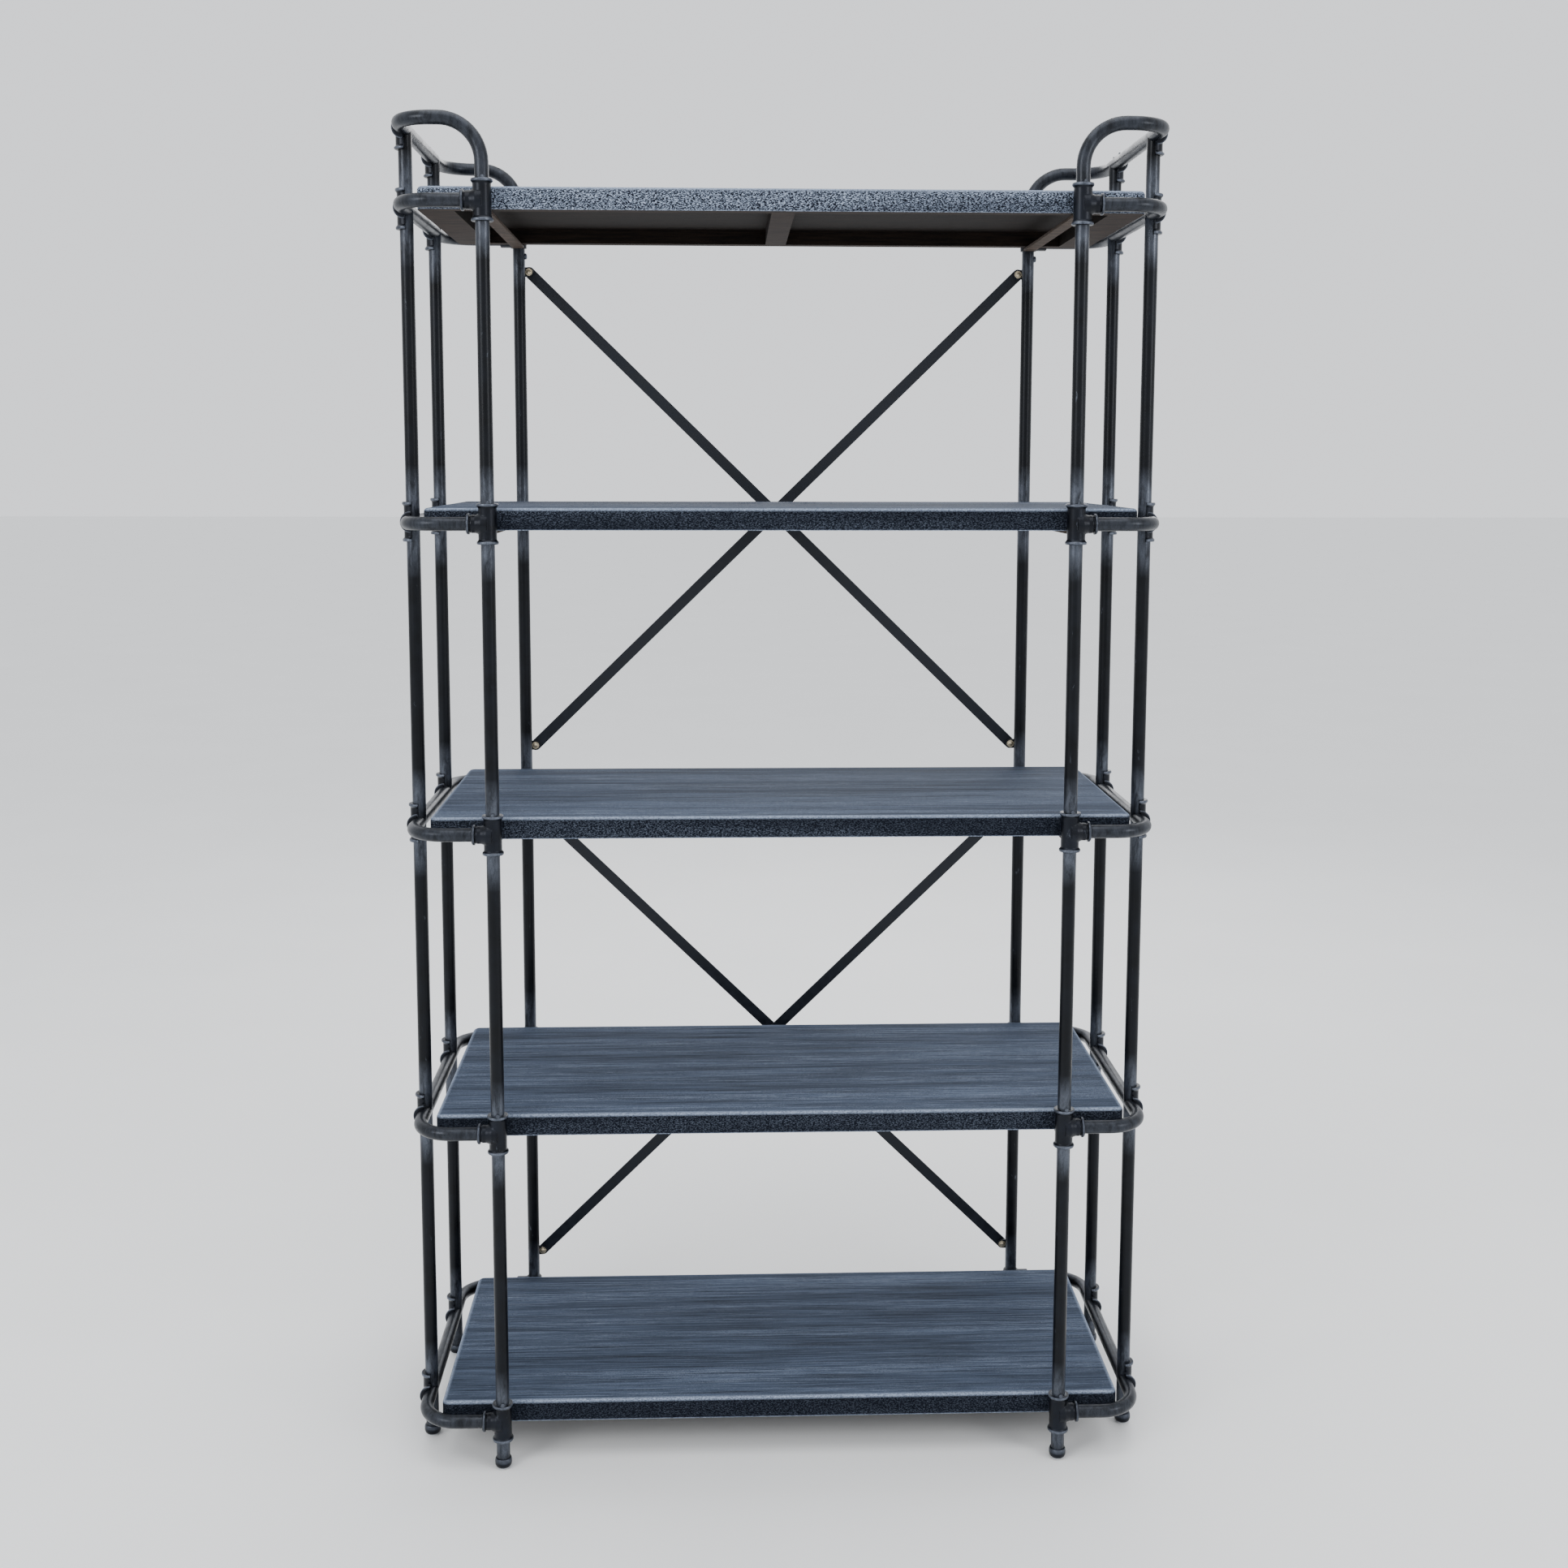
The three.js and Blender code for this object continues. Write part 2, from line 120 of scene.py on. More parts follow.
def settle(piece: Object, name: str = "") -> Object:
    """Applies a piece's place to its mesh and names it.

    Args:
        piece: the piece.
        name: the new name, or nothing to keep the old one.

    Returns:
        The piece.
    """
    activate(piece)
    bpy.ops.object.transform_apply(location=True, rotation=True, scale=True)
    if name:
        piece.name = name
        piece.data.name = name
    return piece


def modify(piece: Object, kind: str, **settings: object) -> Object:
    """Adds a modifier, sets it and applies it.

    Args:
        piece: the piece.
        kind: the modifier's type.
        settings: its properties.

    Returns:
        The piece.
    """
    activate(piece)
    modifier = piece.modifiers.new(kind.lower(), kind)
    for key, value in settings.items():
        setattr(modifier, key, value)
    bpy.ops.object.modifier_apply(modifier=modifier.name)
    return piece


def joined(pieces: list[Object], name: str) -> Object:
    """Joins pieces into the first one.

    Args:
        pieces: the pieces, whose materials are kept.
        name: the name of the whole.

    Returns:
        The joined piece.
    """
    deselect()
    for piece in pieces:
        piece.select_set(True)
    bpy.context.view_layer.objects.active = pieces[0]
    bpy.ops.object.join()
    return settle(pieces[0], name)


def copied(piece: Object, name: str, at: Vector, turn: float = 0.0) -> Object:
    """Copies a piece with a mesh of its own.

    Args:
        piece: the piece modelled at the origin.
        name: the copy's name.
        at: where the copy's origin goes.
        turn: its turn about +Z.

    Returns:
        The copy, with its place in its mesh.
    """
    twin = piece.copy()
    twin.data = piece.data.copy()
    bpy.context.scene.collection.objects.link(twin)
    twin.matrix_world = Matrix.Translation(at) @ Matrix.Rotation(turn, 4, "Z")
    return settle(twin, name)


def removed(piece: Object) -> None:
    """Deletes a pattern piece once its copies are made."""
    bpy.data.objects.remove(piece)


def smooth(piece: Object, degrees: float = 40.0) -> Object:
    """Shades a piece smooth up to an angle.

    Args:
        piece: the piece.
        degrees: the sharpest angle that is still shaded smooth.

    Returns:
        The piece.
    """
    activate(piece)
    bpy.ops.object.shade_smooth_by_angle(angle=math.radians(degrees))
    return piece


def dress(piece: Object, *finishes: Finish) -> Object:
    """Gives a piece its materials, in slot order.

    Args:
        piece: the piece.
        finishes: one finish for each slot.

    Returns:
        The piece.
    """
    piece.data.materials.clear()
    for finish in finishes:
        piece.data.materials.append(bpy.data.materials[finish.value])
    return piece


def hand_in(piece: Object, body: str, slot: str, *nodes: str) -> Object:
    """Rides a finished piece on its body, hides the frame's nodes that it replaces and logs it.

    Args:
        piece: the finished piece.
        body: the body that it moves with.
        slot: not used.
        nodes: the frame's nodes that it replaces.

    Returns:
        The piece.
    """
    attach(piece, body)
    if nodes:
        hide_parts(*nodes)
    LOG.info("%s: %d faces on %s", piece.name, len(piece.data.polygons), body)
    return piece


def bevel_edges(
    piece: Object, width: float, segments: int, chosen: Callable[[Vector, Vector], bool]
) -> None:
    """Bevels the edges whose two ends are chosen.

    Args:
        piece: the piece.
        width: the bevel's width.
        segments: how many steps it has.
        chosen: says whether an edge between two points is bevelled.
    """
    with editing(piece):
        bpy.ops.mesh.select_mode(type="EDGE")
        bpy.ops.mesh.select_all(action="DESELECT")
    points = piece.data.vertices
    for edge in piece.data.edges:
        edge.select = chosen(*(points[i].co for i in edge.vertices))
    activate(piece)
    bpy.ops.object.mode_set(mode="EDIT")
    bpy.ops.mesh.bevel(offset=width, segments=segments, profile=0.5)
    bpy.ops.object.mode_set(mode="OBJECT")


def ring(at: Vector, radius: float, along: Vector, facets: int, filled: bool) -> Object:
    """Adds a circle that faces a direction.

    Args:
        at: its centre.
        radius: its radius.
        along: its axis.
        facets: how many sides.
        filled: whether it has a face.

    Returns:
        The circle.
    """
    deselect()
    bpy.ops.mesh.primitive_circle_add(
        vertices=facets, radius=radius, location=at, fill_type="NGON" if filled else "NOTHING",
        rotation=along.to_track_quat("Z", "Y").to_euler(),
    )
    return bpy.context.object


def block(low: Vector, high: Vector, name: str) -> Object:
    """Adds a block between two corners.

    Args:
        low: the lowest corner.
        high: the highest corner.
        name: its name.

    Returns:
        The block, with its place in its mesh.
    """
    deselect()
    bpy.ops.mesh.primitive_cube_add(size=1, location=(low + high) / 2)
    made = bpy.context.object
    made.scale = high - low
    return settle(made, name)


def turned(
    name: str, profile: list[tuple[float, float]], along: Vector, at: Vector = Vector(),
    facets: int = 48,
) -> Object:
    """Turns a closed solid: a filled circle drawn out and resized from step to step.

    Args:
        name: the piece's name.
        profile: (radius, distance along the axis) steps, first to last.
        along: the axis.
        at: the axis's zero.
        facets: how many sides.

    Returns:
        The solid, with its place in its mesh.
    """
    radius, reach = profile[0]
    made = ring(at + along * reach, radius, along, facets, filled=True)
    with editing(made):
        bpy.ops.mesh.select_all(action="SELECT")
        for next_radius, next_reach in profile[1:]:
            step = along * (next_reach - reach)
            bpy.ops.mesh.extrude_region_move(TRANSFORM_OT_translate={"value": step})
            grow = next_radius / radius
            bpy.ops.transform.resize(
                value=(grow, grow, grow), center_override=at + along * next_reach
            )
            radius, reach = next_radius, next_reach
        bpy.ops.mesh.select_all(action="SELECT")
        bpy.ops.mesh.normals_make_consistent(inside=False)
    return settle(made, name)


def paint_wear_highlight(piece: Object, amount: Callable[[Vector], float]) -> Object:
    """Writes how pale each point is, from 0 to 1, as the attribute "wear".

    On most pieces this is wear; on the castings' ring crests and bead it is partly a painted
    highlight.

    Args:
        piece: the piece.
        amount: gives the wear of a point of the mesh.

    Returns:
        The piece.
    """
    layer = piece.data.attributes.new("wear", "FLOAT", "POINT")
    layer.data.foreach_set("value", [amount(v.co) for v in piece.data.vertices])
    return piece


def ramp(value: float, low: float, high: float) -> float:
    """Gives a smooth step from 0 at low to 1 at high."""
    t = min(max((value - low) / (high - low), 0.0), 1.0)
    return t * t * (3 - 2 * t)


# ---- finishes -------------------------------------------------------------------------------


def linear(code: str) -> tuple[float, float, float, float]:
    """Turns an sRGB hex colour into linear light.

    Args:
        code: six hex digits.

    Returns:
        Red, green, blue and alpha.
    """
    parts = [int(code[i:i + 2], 16) / 255 for i in (0, 2, 4)]
    light = [c / 12.92 if c <= 0.04045 else ((c + 0.055) / 1.055) ** 2.4 for c in parts]
    return (*light, 1.0)


def add_node(
    tree: NodeTree, kind: str, sockets: dict[int | str, object] | None = None, **settings: object
) -> Node:
    """Adds a node with its settings, values and links.

    Args:
        tree: the node tree.
        kind: the node's type, without "ShaderNode".
        sockets: input values, or the outputs that feed them.
        settings: the node's own properties.

    Returns:
        The node.
    """
    made = tree.nodes.new("ShaderNode" + kind)
    for key, value in settings.items():
        setattr(made, key, value)
    for key, value in (sockets or {}).items():
        if isinstance(value, NodeSocket):
            tree.links.new(value, made.inputs[key])
        else:
            made.inputs[key].default_value = value
    return made


def blank(finish: Finish) -> tuple[Material, NodeTree, Node]:
    """Starts a material.

    Args:
        finish: the finish that it is named for.

    Returns:
        The material, its node tree and its shader.
    """
    material = bpy.data.materials.new(finish.value)
    material.use_nodes = True
    tree = material.node_tree
    return material, tree, tree.nodes["Principled BSDF"]


@dataclass(frozen=True)
class RubbedIron:
    """Iron, blackened and waxed by hand, then rubbed back: near black with silvery streaks,
    partly rubbed bare metal and partly a painted highlight.

    The dark layer carries a painted soft blue sheen, and bare metal shines through on edges,
    partly as a painted highlight.
    """

    finish: Finish
    dark: str = "04060a"
    # painted blue sheen: the dark layer's lighter colour, laid in soft patches
    sheen: str = "0c1017"
    # pale bare metal, also the colour of the painted highlights on streaks and edges
    bare_metal_highlight: str = "98a1b2"
    streak_mm: float = 9.0        # length of one streak, partly rubbed and partly a painted highlight
    speck_mm: float = 0.9         # scuffs, drawn coarser than the real grit so that they show
    streak_share: float = 0.635   # noise level above which a streak shows
    edge_share: float = 0.75      # how strongly worn edges go pale, partly as a painted highlight

    def build(self) -> Material:
        """Makes the material."""
        material, tree, shader = blank(self.finish)
        place = add_node(tree, "TexCoord").outputs["Object"]
        # wear attribute: rubbing, and on the castings' ring crests partly a painted highlight
        wear_highlight_mask = add_node(tree, "Attribute", attribute_name="wear").outputs["Fac"]
        cloud = add_node(tree, "TexNoise", {
            "Vector": place, "Scale": 1 / (4 * self.streak_mm * MM), "Detail": 5.0, "Roughness": 0.6,
        })
        long_way = add_node(tree, "Mapping", {"Vector": place, "Scale": (1.0, 1.0, 0.28)})
        streak = add_node(tree, "TexNoise", {
            "Vector": long_way.outputs[0], "Scale": 1 / (self.streak_mm * MM), "Detail": 8.0,
            "Roughness": 0.72, "Distortion": 0.4,
        })
        speck = add_node(tree, "TexNoise", {
            "Vector": place, "Scale": 1 / (self.speck_mm * MM), "Detail": 3.0, "Roughness": 0.7,
        })
        # dark layer with the painted blue sheen in soft patches
        layer = add_node(tree, "Mix", {
            "Factor": add_node(tree, "MapRange", {
                "Value": cloud.outputs[0], "From Min": 0.35, "From Max": 0.68,
            }).outputs[0],
            "A": linear(self.dark), "B": linear(self.sheen),
        }, data_type="RGBA")
        # silvery streaks: partly rubbed bare metal, partly a painted highlight
        streaks = add_node(tree, "MapRange", {
            "Value": streak.outputs[0], "From Min": self.streak_share, "From Max": 0.80,
            "To Max": 0.5,
        })
        # worn edges go pale: partly rubbing, partly a painted highlight
        edge = add_node(tree, "Math", {
            0: wear_highlight_mask,
            1: add_node(tree, "MapRange", {
                "Value": streak.outputs[0], "From Min": 0.36, "From Max": 0.58,
                "To Min": 0.15, "To Max": self.edge_share,
            }).outputs[0],
        }, operation="MULTIPLY")
        both = add_node(tree, "Math", {0: streaks.outputs[0], 1: edge.outputs[0]}, operation="MAXIMUM")
        gritty = add_node(tree, "Math", {
            0: both.outputs[0],
            1: add_node(tree, "MapRange", {
                "Value": speck.outputs[0], "From Min": 0.32, "From Max": 0.6, "To Min": 0.55,
            }).outputs[0],
        }, operation="MULTIPLY")
        colour = add_node(tree, "Mix", {
            "Factor": gritty.outputs[0], "A": layer.outputs["Result"], "B": linear(self.bare_metal_highlight),
        }, data_type="RGBA")
        rough = add_node(tree, "MapRange", {
            "Value": cloud.outputs[0], "From Min": 0.3, "From Max": 0.7, "To Min": 0.26, "To Max": 0.46,
        })
        bump = add_node(tree, "Bump", {
            "Height": add_node(tree, "Math", {0: streak.outputs[0], 1: speck.outputs[0]},
                               operation="ADD").outputs[0],
            "Strength": 0.22, "Distance": 0.4 * MM,
        })
        tree.links.new(colour.outputs["Result"], shader.inputs["Base Color"])
        tree.links.new(rough.outputs[0], shader.inputs["Roughness"])
        tree.links.new(bump.outputs[0], shader.inputs["Normal"])
        shader.inputs["Metallic"].default_value = 0.72
        shader.inputs["Specular IOR Level"].default_value = 0.4
        shader.inputs["Coat Weight"].default_value = 0.10
        shader.inputs["Coat Roughness"].default_value = 0.25
        return material


@dataclass(frozen=True)
class SlateBoard:
    """Wood stained slate grey and scuffed: fine lengthwise grain, and pale arrises that are partly worn
    and partly a painted highlight.

    Upright faces are darker and mottled with silvery scuffs, most of all on the top board.
    """

    half_length: float
    half_depth: float
    thickness: float
    lowest: float                 # underside of the lowest board
    pitch: float                  # from board to board
    finish: Finish = Finish.BOARD
    dark: str = "1e242e"
    pale: str = "4a5568"
    # silvery scuffs, also the painted highlight along the arrises
    scuff_highlight: str = "a8b6cd"
    face: str = "070b14"
    grain_mm: float = 3.2         # spacing of the grain lines
    streak_mm: float = 2.0        # width of a rubbed streak
    speckle_mm: float = 1.1       # scuff spots on the upright faces
    arris_mm: float = 3.2         # width of the pale arris, partly wear and partly a painted highlight

    def build(self) -> Material:
        """Makes the material."""
        material, tree, shader = blank(self.finish)
        place = add_node(tree, "TexCoord").outputs["Object"]
        grain, band, mottle = (
            add_node(tree, "TexNoise", {
                "Vector": add_node(tree, "Mapping", {
                    "Vector": place, "Scale": (drawn_out, 1.0, 1.0),
                }).outputs[0],
                "Scale": 1 / (width_mm * MM), "Detail": detail, "Roughness": roughness,
            }).outputs[0]
            for drawn_out, width_mm, detail, roughness in (
                (0.02, self.grain_mm, 7.0, 0.62),
                (0.045, 11 * self.grain_mm, 4.0, 0.5),
                (0.45, self.speckle_mm, 3.0, 0.8),
            )
        )
        upright = self.upright(tree)
        sides = add_node(tree, "Mix", {
            "Factor": upright, "A": self.top_colour(tree, place, grain, band),
            "B": linear(self.face),
        }, data_type="RGBA")
        # pale arrises (partly painted highlight) and scuffs both take the scuff colour
        wear_highlight_mask = add_node(tree, "Math", {
            0: self.arris_wear_highlight(tree, place, mottle, upright),
            1: self.face_scuffs(tree, place, mottle, band, upright),
        }, operation="MAXIMUM")
        colour = add_node(tree, "Mix", {
            "Factor": wear_highlight_mask.outputs[0], "A": sides.outputs["Result"], "B": linear(self.scuff_highlight),
        }, data_type="RGBA")
        rough = add_node(tree, "MapRange", {
            "Value": grain, "From Min": 0.3, "From Max": 0.7, "To Min": 0.66, "To Max": 0.82,
        })
        bump = add_node(tree, "Bump", {"Height": grain, "Strength": 0.25, "Distance": 0.35 * MM})
        tree.links.new(colour.outputs["Result"], shader.inputs["Base Color"])
        tree.links.new(rough.outputs[0], shader.inputs["Roughness"])
        tree.links.new(bump.outputs[0], shader.inputs["Normal"])
        shader.inputs["Specular IOR Level"].default_value = 0.05
        return material

    def upright(self, tree: NodeTree) -> NodeSocket:
        """Gives 1 on upright faces and 0 on level ones."""
        normal = add_node(tree, "NewGeometry").outputs["Normal"]
        lean = add_node(tree, "Math", {
            0: add_node(tree, "SeparateXYZ", {0: normal}).outputs["Z"],
        }, operation="ABSOLUTE")
        return add_node(tree, "MapRange", {
            "Value": lean.outputs[0], "From Min": 0.75, "From Max": 0.25,
        }).outputs[0]

    def top_colour(
        self, tree: NodeTree, place: NodeSocket, grain: NodeSocket, band: NodeSocket
    ) -> NodeSocket:
        """Stains the grain, then rubs fine pale streaks over it in patches.

        Args:
            tree: the node tree.
            place: the place on the object.
            grain: the fine grain.
            band: the broad grain.

        Returns:
            The colour.
        """
        along = add_node(tree, "Mapping", {"Vector": place, "Scale": (0.018, 1.0, 1.0)})
        fine = add_node(tree, "TexNoise", {
            "Vector": along.outputs[0], "Scale": 1 / (self.streak_mm * MM), "Detail": 8.0,
            "Roughness": 0.9,
        }).outputs[0]
        dust = add_node(tree, "TexNoise", {
            "Vector": place, "Scale": 1 / (self.speckle_mm * MM), "Detail": 2.0, "Roughness": 0.8,
        }).outputs[0]
        blend, rubbed = (
            add_node(tree, "Math", {
                0: add_node(tree, "Math", {0: first, 1: share}, operation="MULTIPLY").outputs[0],
                1: add_node(tree, "Math", {0: second, 1: 1 - share}, operation="MULTIPLY").outputs[0],
            }, operation="ADD").outputs[0]
            for first, second, share in ((grain, band, 0.72), (fine, dust, 0.68))
        )
        wood = add_node(tree, "Mix", {
            "Factor": add_node(tree, "MapRange", {
                "Value": blend, "From Min": 0.36, "From Max": 0.62,
            }).outputs[0],
            "A": linear(self.dark), "B": linear(self.pale),
        }, data_type="RGBA")
        streaks = add_node(tree, "Math", {
            0: add_node(tree, "MapRange", {
                "Value": rubbed, "From Min": 0.50, "From Max": 0.64, "To Max": 0.8,
            }).outputs[0],
            1: add_node(tree, "MapRange", {
                "Value": band, "From Min": 0.42, "From Max": 0.62, "To Min": 0.25,
            }).outputs[0],
        }, operation="MULTIPLY")
        return add_node(tree, "Mix", {
            "Factor": streaks.outputs[0], "A": wood.outputs["Result"], "B": linear(self.scuff_highlight),
        }, data_type="RGBA").outputs["Result"]

    def face_scuffs(
        self, tree: NodeTree, place: NodeSocket, mottle: NodeSocket, band: NodeSocket,
        upright: NodeSocket,
    ) -> NodeSocket:
        """Gives the scuffs of the upright faces, in patches and thickest on the top board.

        Args:
            tree: the node tree.
            place: the place on the object.
            mottle: the scuffs' pattern.
            band: the broad grain.
            upright: 1 on upright faces.

        Returns:
            How scuffed a place is.
        """
        top_share = add_node(tree, "MapRange", {
            "Value": add_node(tree, "SeparateXYZ", {0: place}).outputs["Z"],
            "From Min": self.lowest + 3.5 * self.pitch, "From Max": self.lowest + 3.9 * self.pitch,
            "To Min": 0.18, "To Max": 1.0,
        })
        patch = add_node(tree, "MapRange", {
            "Value": band, "From Min": 0.40, "From Max": 0.60, "To Min": 0.45,
        })
        share = add_node(tree, "Math", {0: top_share.outputs[0], 1: patch.outputs[0]},
                         operation="MULTIPLY")
        spots = add_node(tree, "MapRange", {
            "Value": mottle, "From Min": 0.49, "From Max": 0.60, "To Max": 0.95,
        })
        scuffs = add_node(tree, "Math", {0: spots.outputs[0], 1: share.outputs[0]},
                          operation="MULTIPLY")
        return add_node(tree, "Math", {0: scuffs.outputs[0], 1: upright},
                        operation="MULTIPLY").outputs[0]

    def arris_wear_highlight(
        self, tree: NodeTree, place: NodeSocket, mottle: NodeSocket, upright: NodeSocket
    ) -> NodeSocket:
        """Gives the pale arrises, broken by the mottle: the top's rim and the faces' foot. They are
        partly rubbed wear and partly a painted highlight.

        Args:
            tree: the node tree.
            place: the place on the object.
            mottle: the scuffs' pattern.
            upright: 1 on upright faces.

        Returns:
            How pale a place is, partly from wear and partly as a painted highlight.
        """
        width = self.arris_mm * MM
        split = add_node(tree, "SeparateXYZ", {0: place})
        front, end = (
            add_node(tree, "MapRange", {
                "Value": add_node(tree, "Math", {0: split.outputs[axis]},
                                  operation="ABSOLUTE").outputs[0],
                "From Min": half - 2 * width, "From Max": half - 0.5 * width,
            }).outputs[0]
            for axis, half in (("Y", self.half_depth), ("X", self.half_length))
        )
        rise = add_node(tree, "Math", {0: split.outputs["Z"], 1: self.lowest}, operation="SUBTRACT")
        height = add_node(tree, "Math", {0: rise.outputs[0], 1: self.pitch}, operation="MODULO")
        top = add_node(tree, "MapRange", {
            "Value": height.outputs[0], "From Min": self.thickness - 1.5 * width,
            "From Max": self.thickness - 0.4 * width,
        })
        foot = add_node(tree, "MapRange", {
            "Value": height.outputs[0], "From Min": 0.45 * width, "From Max": 0.1 * width,
            "To Max": 0.8,
        })
        rim = add_node(tree, "Math", {0: front, 1: end}, operation="MAXIMUM")
        arris = add_node(tree, "Math", {
            0: add_node(tree, "Math", {0: rim.outputs[0], 1: top.outputs[0]},
                        operation="MULTIPLY").outputs[0],
            1: add_node(tree, "Math", {0: upright, 1: foot.outputs[0]},
                        operation="MULTIPLY").outputs[0],
        }, operation="MAXIMUM")
        broken = add_node(tree, "MapRange", {
            "Value": mottle, "From Min": 0.38, "From Max": 0.62, "To Min": 0.12, "To Max": 0.85,
        })
        return add_node(tree, "Math", {0: arris.outputs[0], 1: broken.outputs[0]},
                        operation="MULTIPLY").outputs[0]


@dataclass(frozen=True)
class BareWood:
    """Wood wiped with brown stain, uneven and dull: the undersides and the ledgers, and a darker copy
    that is painted shade in the hollows.
    """

    finish: Finish
    dark: str
    pale: str
    grain_mm: float = 4.0

    def build(self) -> Material:
        """Makes the material."""
        material, tree, shader = blank(self.finish)
        place = add_node(tree, "Mapping", {
            "Vector": add_node(tree, "TexCoord").outputs["Object"], "Scale": (0.08, 1.0, 1.0),
        })
        grain = add_node(tree, "TexNoise", {
            "Vector": place.outputs[0], "Scale": 1 / (self.grain_mm * MM), "Detail": 6.0,
            "Roughness": 0.65,
        })
        colour = add_node(tree, "Mix", {
            "Factor": add_node(tree, "MapRange", {
                "Value": grain.outputs[0], "From Min": 0.36, "From Max": 0.66,
            }).outputs[0],
            "A": linear(self.dark), "B": linear(self.pale),
        }, data_type="RGBA")
        bump = add_node(tree, "Bump", {
            "Height": grain.outputs[0], "Strength": 0.3, "Distance": 0.4 * MM,
        })
        tree.links.new(colour.outputs["Result"], shader.inputs["Base Color"])
        tree.links.new(bump.outputs[0], shader.inputs["Normal"])
        shader.inputs["Roughness"].default_value = 0.75
        shader.inputs["Specular IOR Level"].default_value = 0.12
        return material


@dataclass(frozen=True)
class MottledSurface:
    """A plain finish with a soft mottle: black bar, zinc plate, moulded nylon or painted floor."""

    finish: Finish
    dark: str
    pale: str
    metallic: float
    roughness: float
    spot_mm: float

    def build(self) -> Material:
        """Makes the material."""
        material, tree, shader = blank(self.finish)
        place = add_node(tree, "TexCoord").outputs["Object"]
        spots = add_node(tree, "TexNoise", {
            "Vector": place, "Scale": 1 / (self.spot_mm * MM), "Detail": 4.0,
        })
        colour = add_node(tree, "Mix", {
            "Factor": spots.outputs[0], "A": linear(self.dark), "B": linear(self.pale),
        }, data_type="RGBA")
        rough = add_node(tree, "MapRange", {
            "Value": spots.outputs[0], "From Min": 0.3, "From Max": 0.7,
            "To Min": self.roughness - 0.08, "To Max": self.roughness + 0.08,
        })
        tree.links.new(colour.outputs["Result"], shader.inputs["Base Color"])
        tree.links.new(rough.outputs[0], shader.inputs["Roughness"])
        shader.inputs["Metallic"].default_value = self.metallic
        return material


# ---- sizes from the frame -------------------------------------------------------------------


@dataclass(frozen=True)
class Layout:
    """Places that the pieces share, measured on the frame's nodes."""

    main_x: float
    main_y: float
    outer_x: float
    outer_y: float
    tube: float                   # pipe radius
    rails: dict[int, float]       # height of each level's rail centre
    top: float                    # height of the top rail centre
    ring: float                   # radius of a collar's ring
    collar_half: float
    branch: float                 # reach of a collar's branch
    bend: float = 48 * MM         # plan bends
    rise_bend: float = 54 * MM    # upright bends of the top rails
    cover_half: float = 21 * MM   # half length of a cover along its rail
    saddle: float = 26 * MM       # drop of a saddle under the top rail
    sleeve_half: float = 13 * MM  # half height of the plain sleeve on a rear post

    @classmethod
    def from_frame(cls) -> "Layout":
        """Measures the frame."""
        low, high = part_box("main_post_front_right")
        outer_low, outer_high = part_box("outer_post_rear_right")
        bracket_low, bracket_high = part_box("shelf_bracket_1_right")
        tube = (high.x - low.x) / 2
        main_x = (low.x + high.x) / 2
        main_y = -(low.y + high.y) / 2
        ring_radius = -main_y - bracket_low.y
        heights = {k: sum(c.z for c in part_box(f"shelf_bracket_{k}_right")) / 2 for k in LEVELS}
        return cls(
            main_x=main_x, main_y=main_y,
            outer_x=(outer_low.x + outer_high.x) / 2, outer_y=(outer_low.y + outer_high.y) / 2,
            tube=tube, rails=heights, top=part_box("top_rail_right")[1].z - ring_radius,
            ring=ring_radius, collar_half=(bracket_high.z - bracket_low.z) / 2,
            branch=bracket_high.x - main_x,
        )


# ---- sub-assemblies -------------------------------------------------------------------------


@dataclass
class Pipe:
    """A run of pipe drawn out straight by straight and spun round each bend."""

    radius: float
    wall: float = 1.6 * MM
    facets: int = 32
    bend_steps: int = 14

    def run(self, name: str, corners: list[Vector], bends: list[float]) -> Object:
        """Builds one pipe.

        Args:
            name: its name.
            corners: the ends and the corners between them.
            bends: the bend radius at each inner corner.

        Returns:
            The open pipe, with its wall.
        """
        heading = (corners[1] - corners[0]).normalized()
        made = ring(corners[0], self.radius, heading, self.facets, filled=False)
        here = corners[0]
        with editing(made):
            bpy.ops.mesh.select_all(action="SELECT")
            for corner, after, bend in zip(corners[1:-1], corners[2:], bends):
                onward = (after - corner).normalized()
                start = corner - heading * bend
                bpy.ops.mesh.extrude_region_move(TRANSFORM_OT_translate={"value": start - here})
                bpy.ops.mesh.spin(
                    steps=self.bend_steps, angle=heading.angle(onward),
                    center=start + onward * bend, axis=-heading.cross(onward).normalized(),
                )
                here = corner + onward * bend
                heading = onward
            bpy.ops.mesh.extrude_region_move(TRANSFORM_OT_translate={"value": corners[-1] - here})
            bpy.ops.mesh.select_all(action="SELECT")
            bpy.ops.mesh.remove_doubles(threshold=0.02 * MM)
            bpy.ops.mesh.normals_make_consistent(inside=False)
        settle(made, name)
        modify(made, "SOLIDIFY", thickness=self.wall, offset=-1)
        return smooth(made, 35)


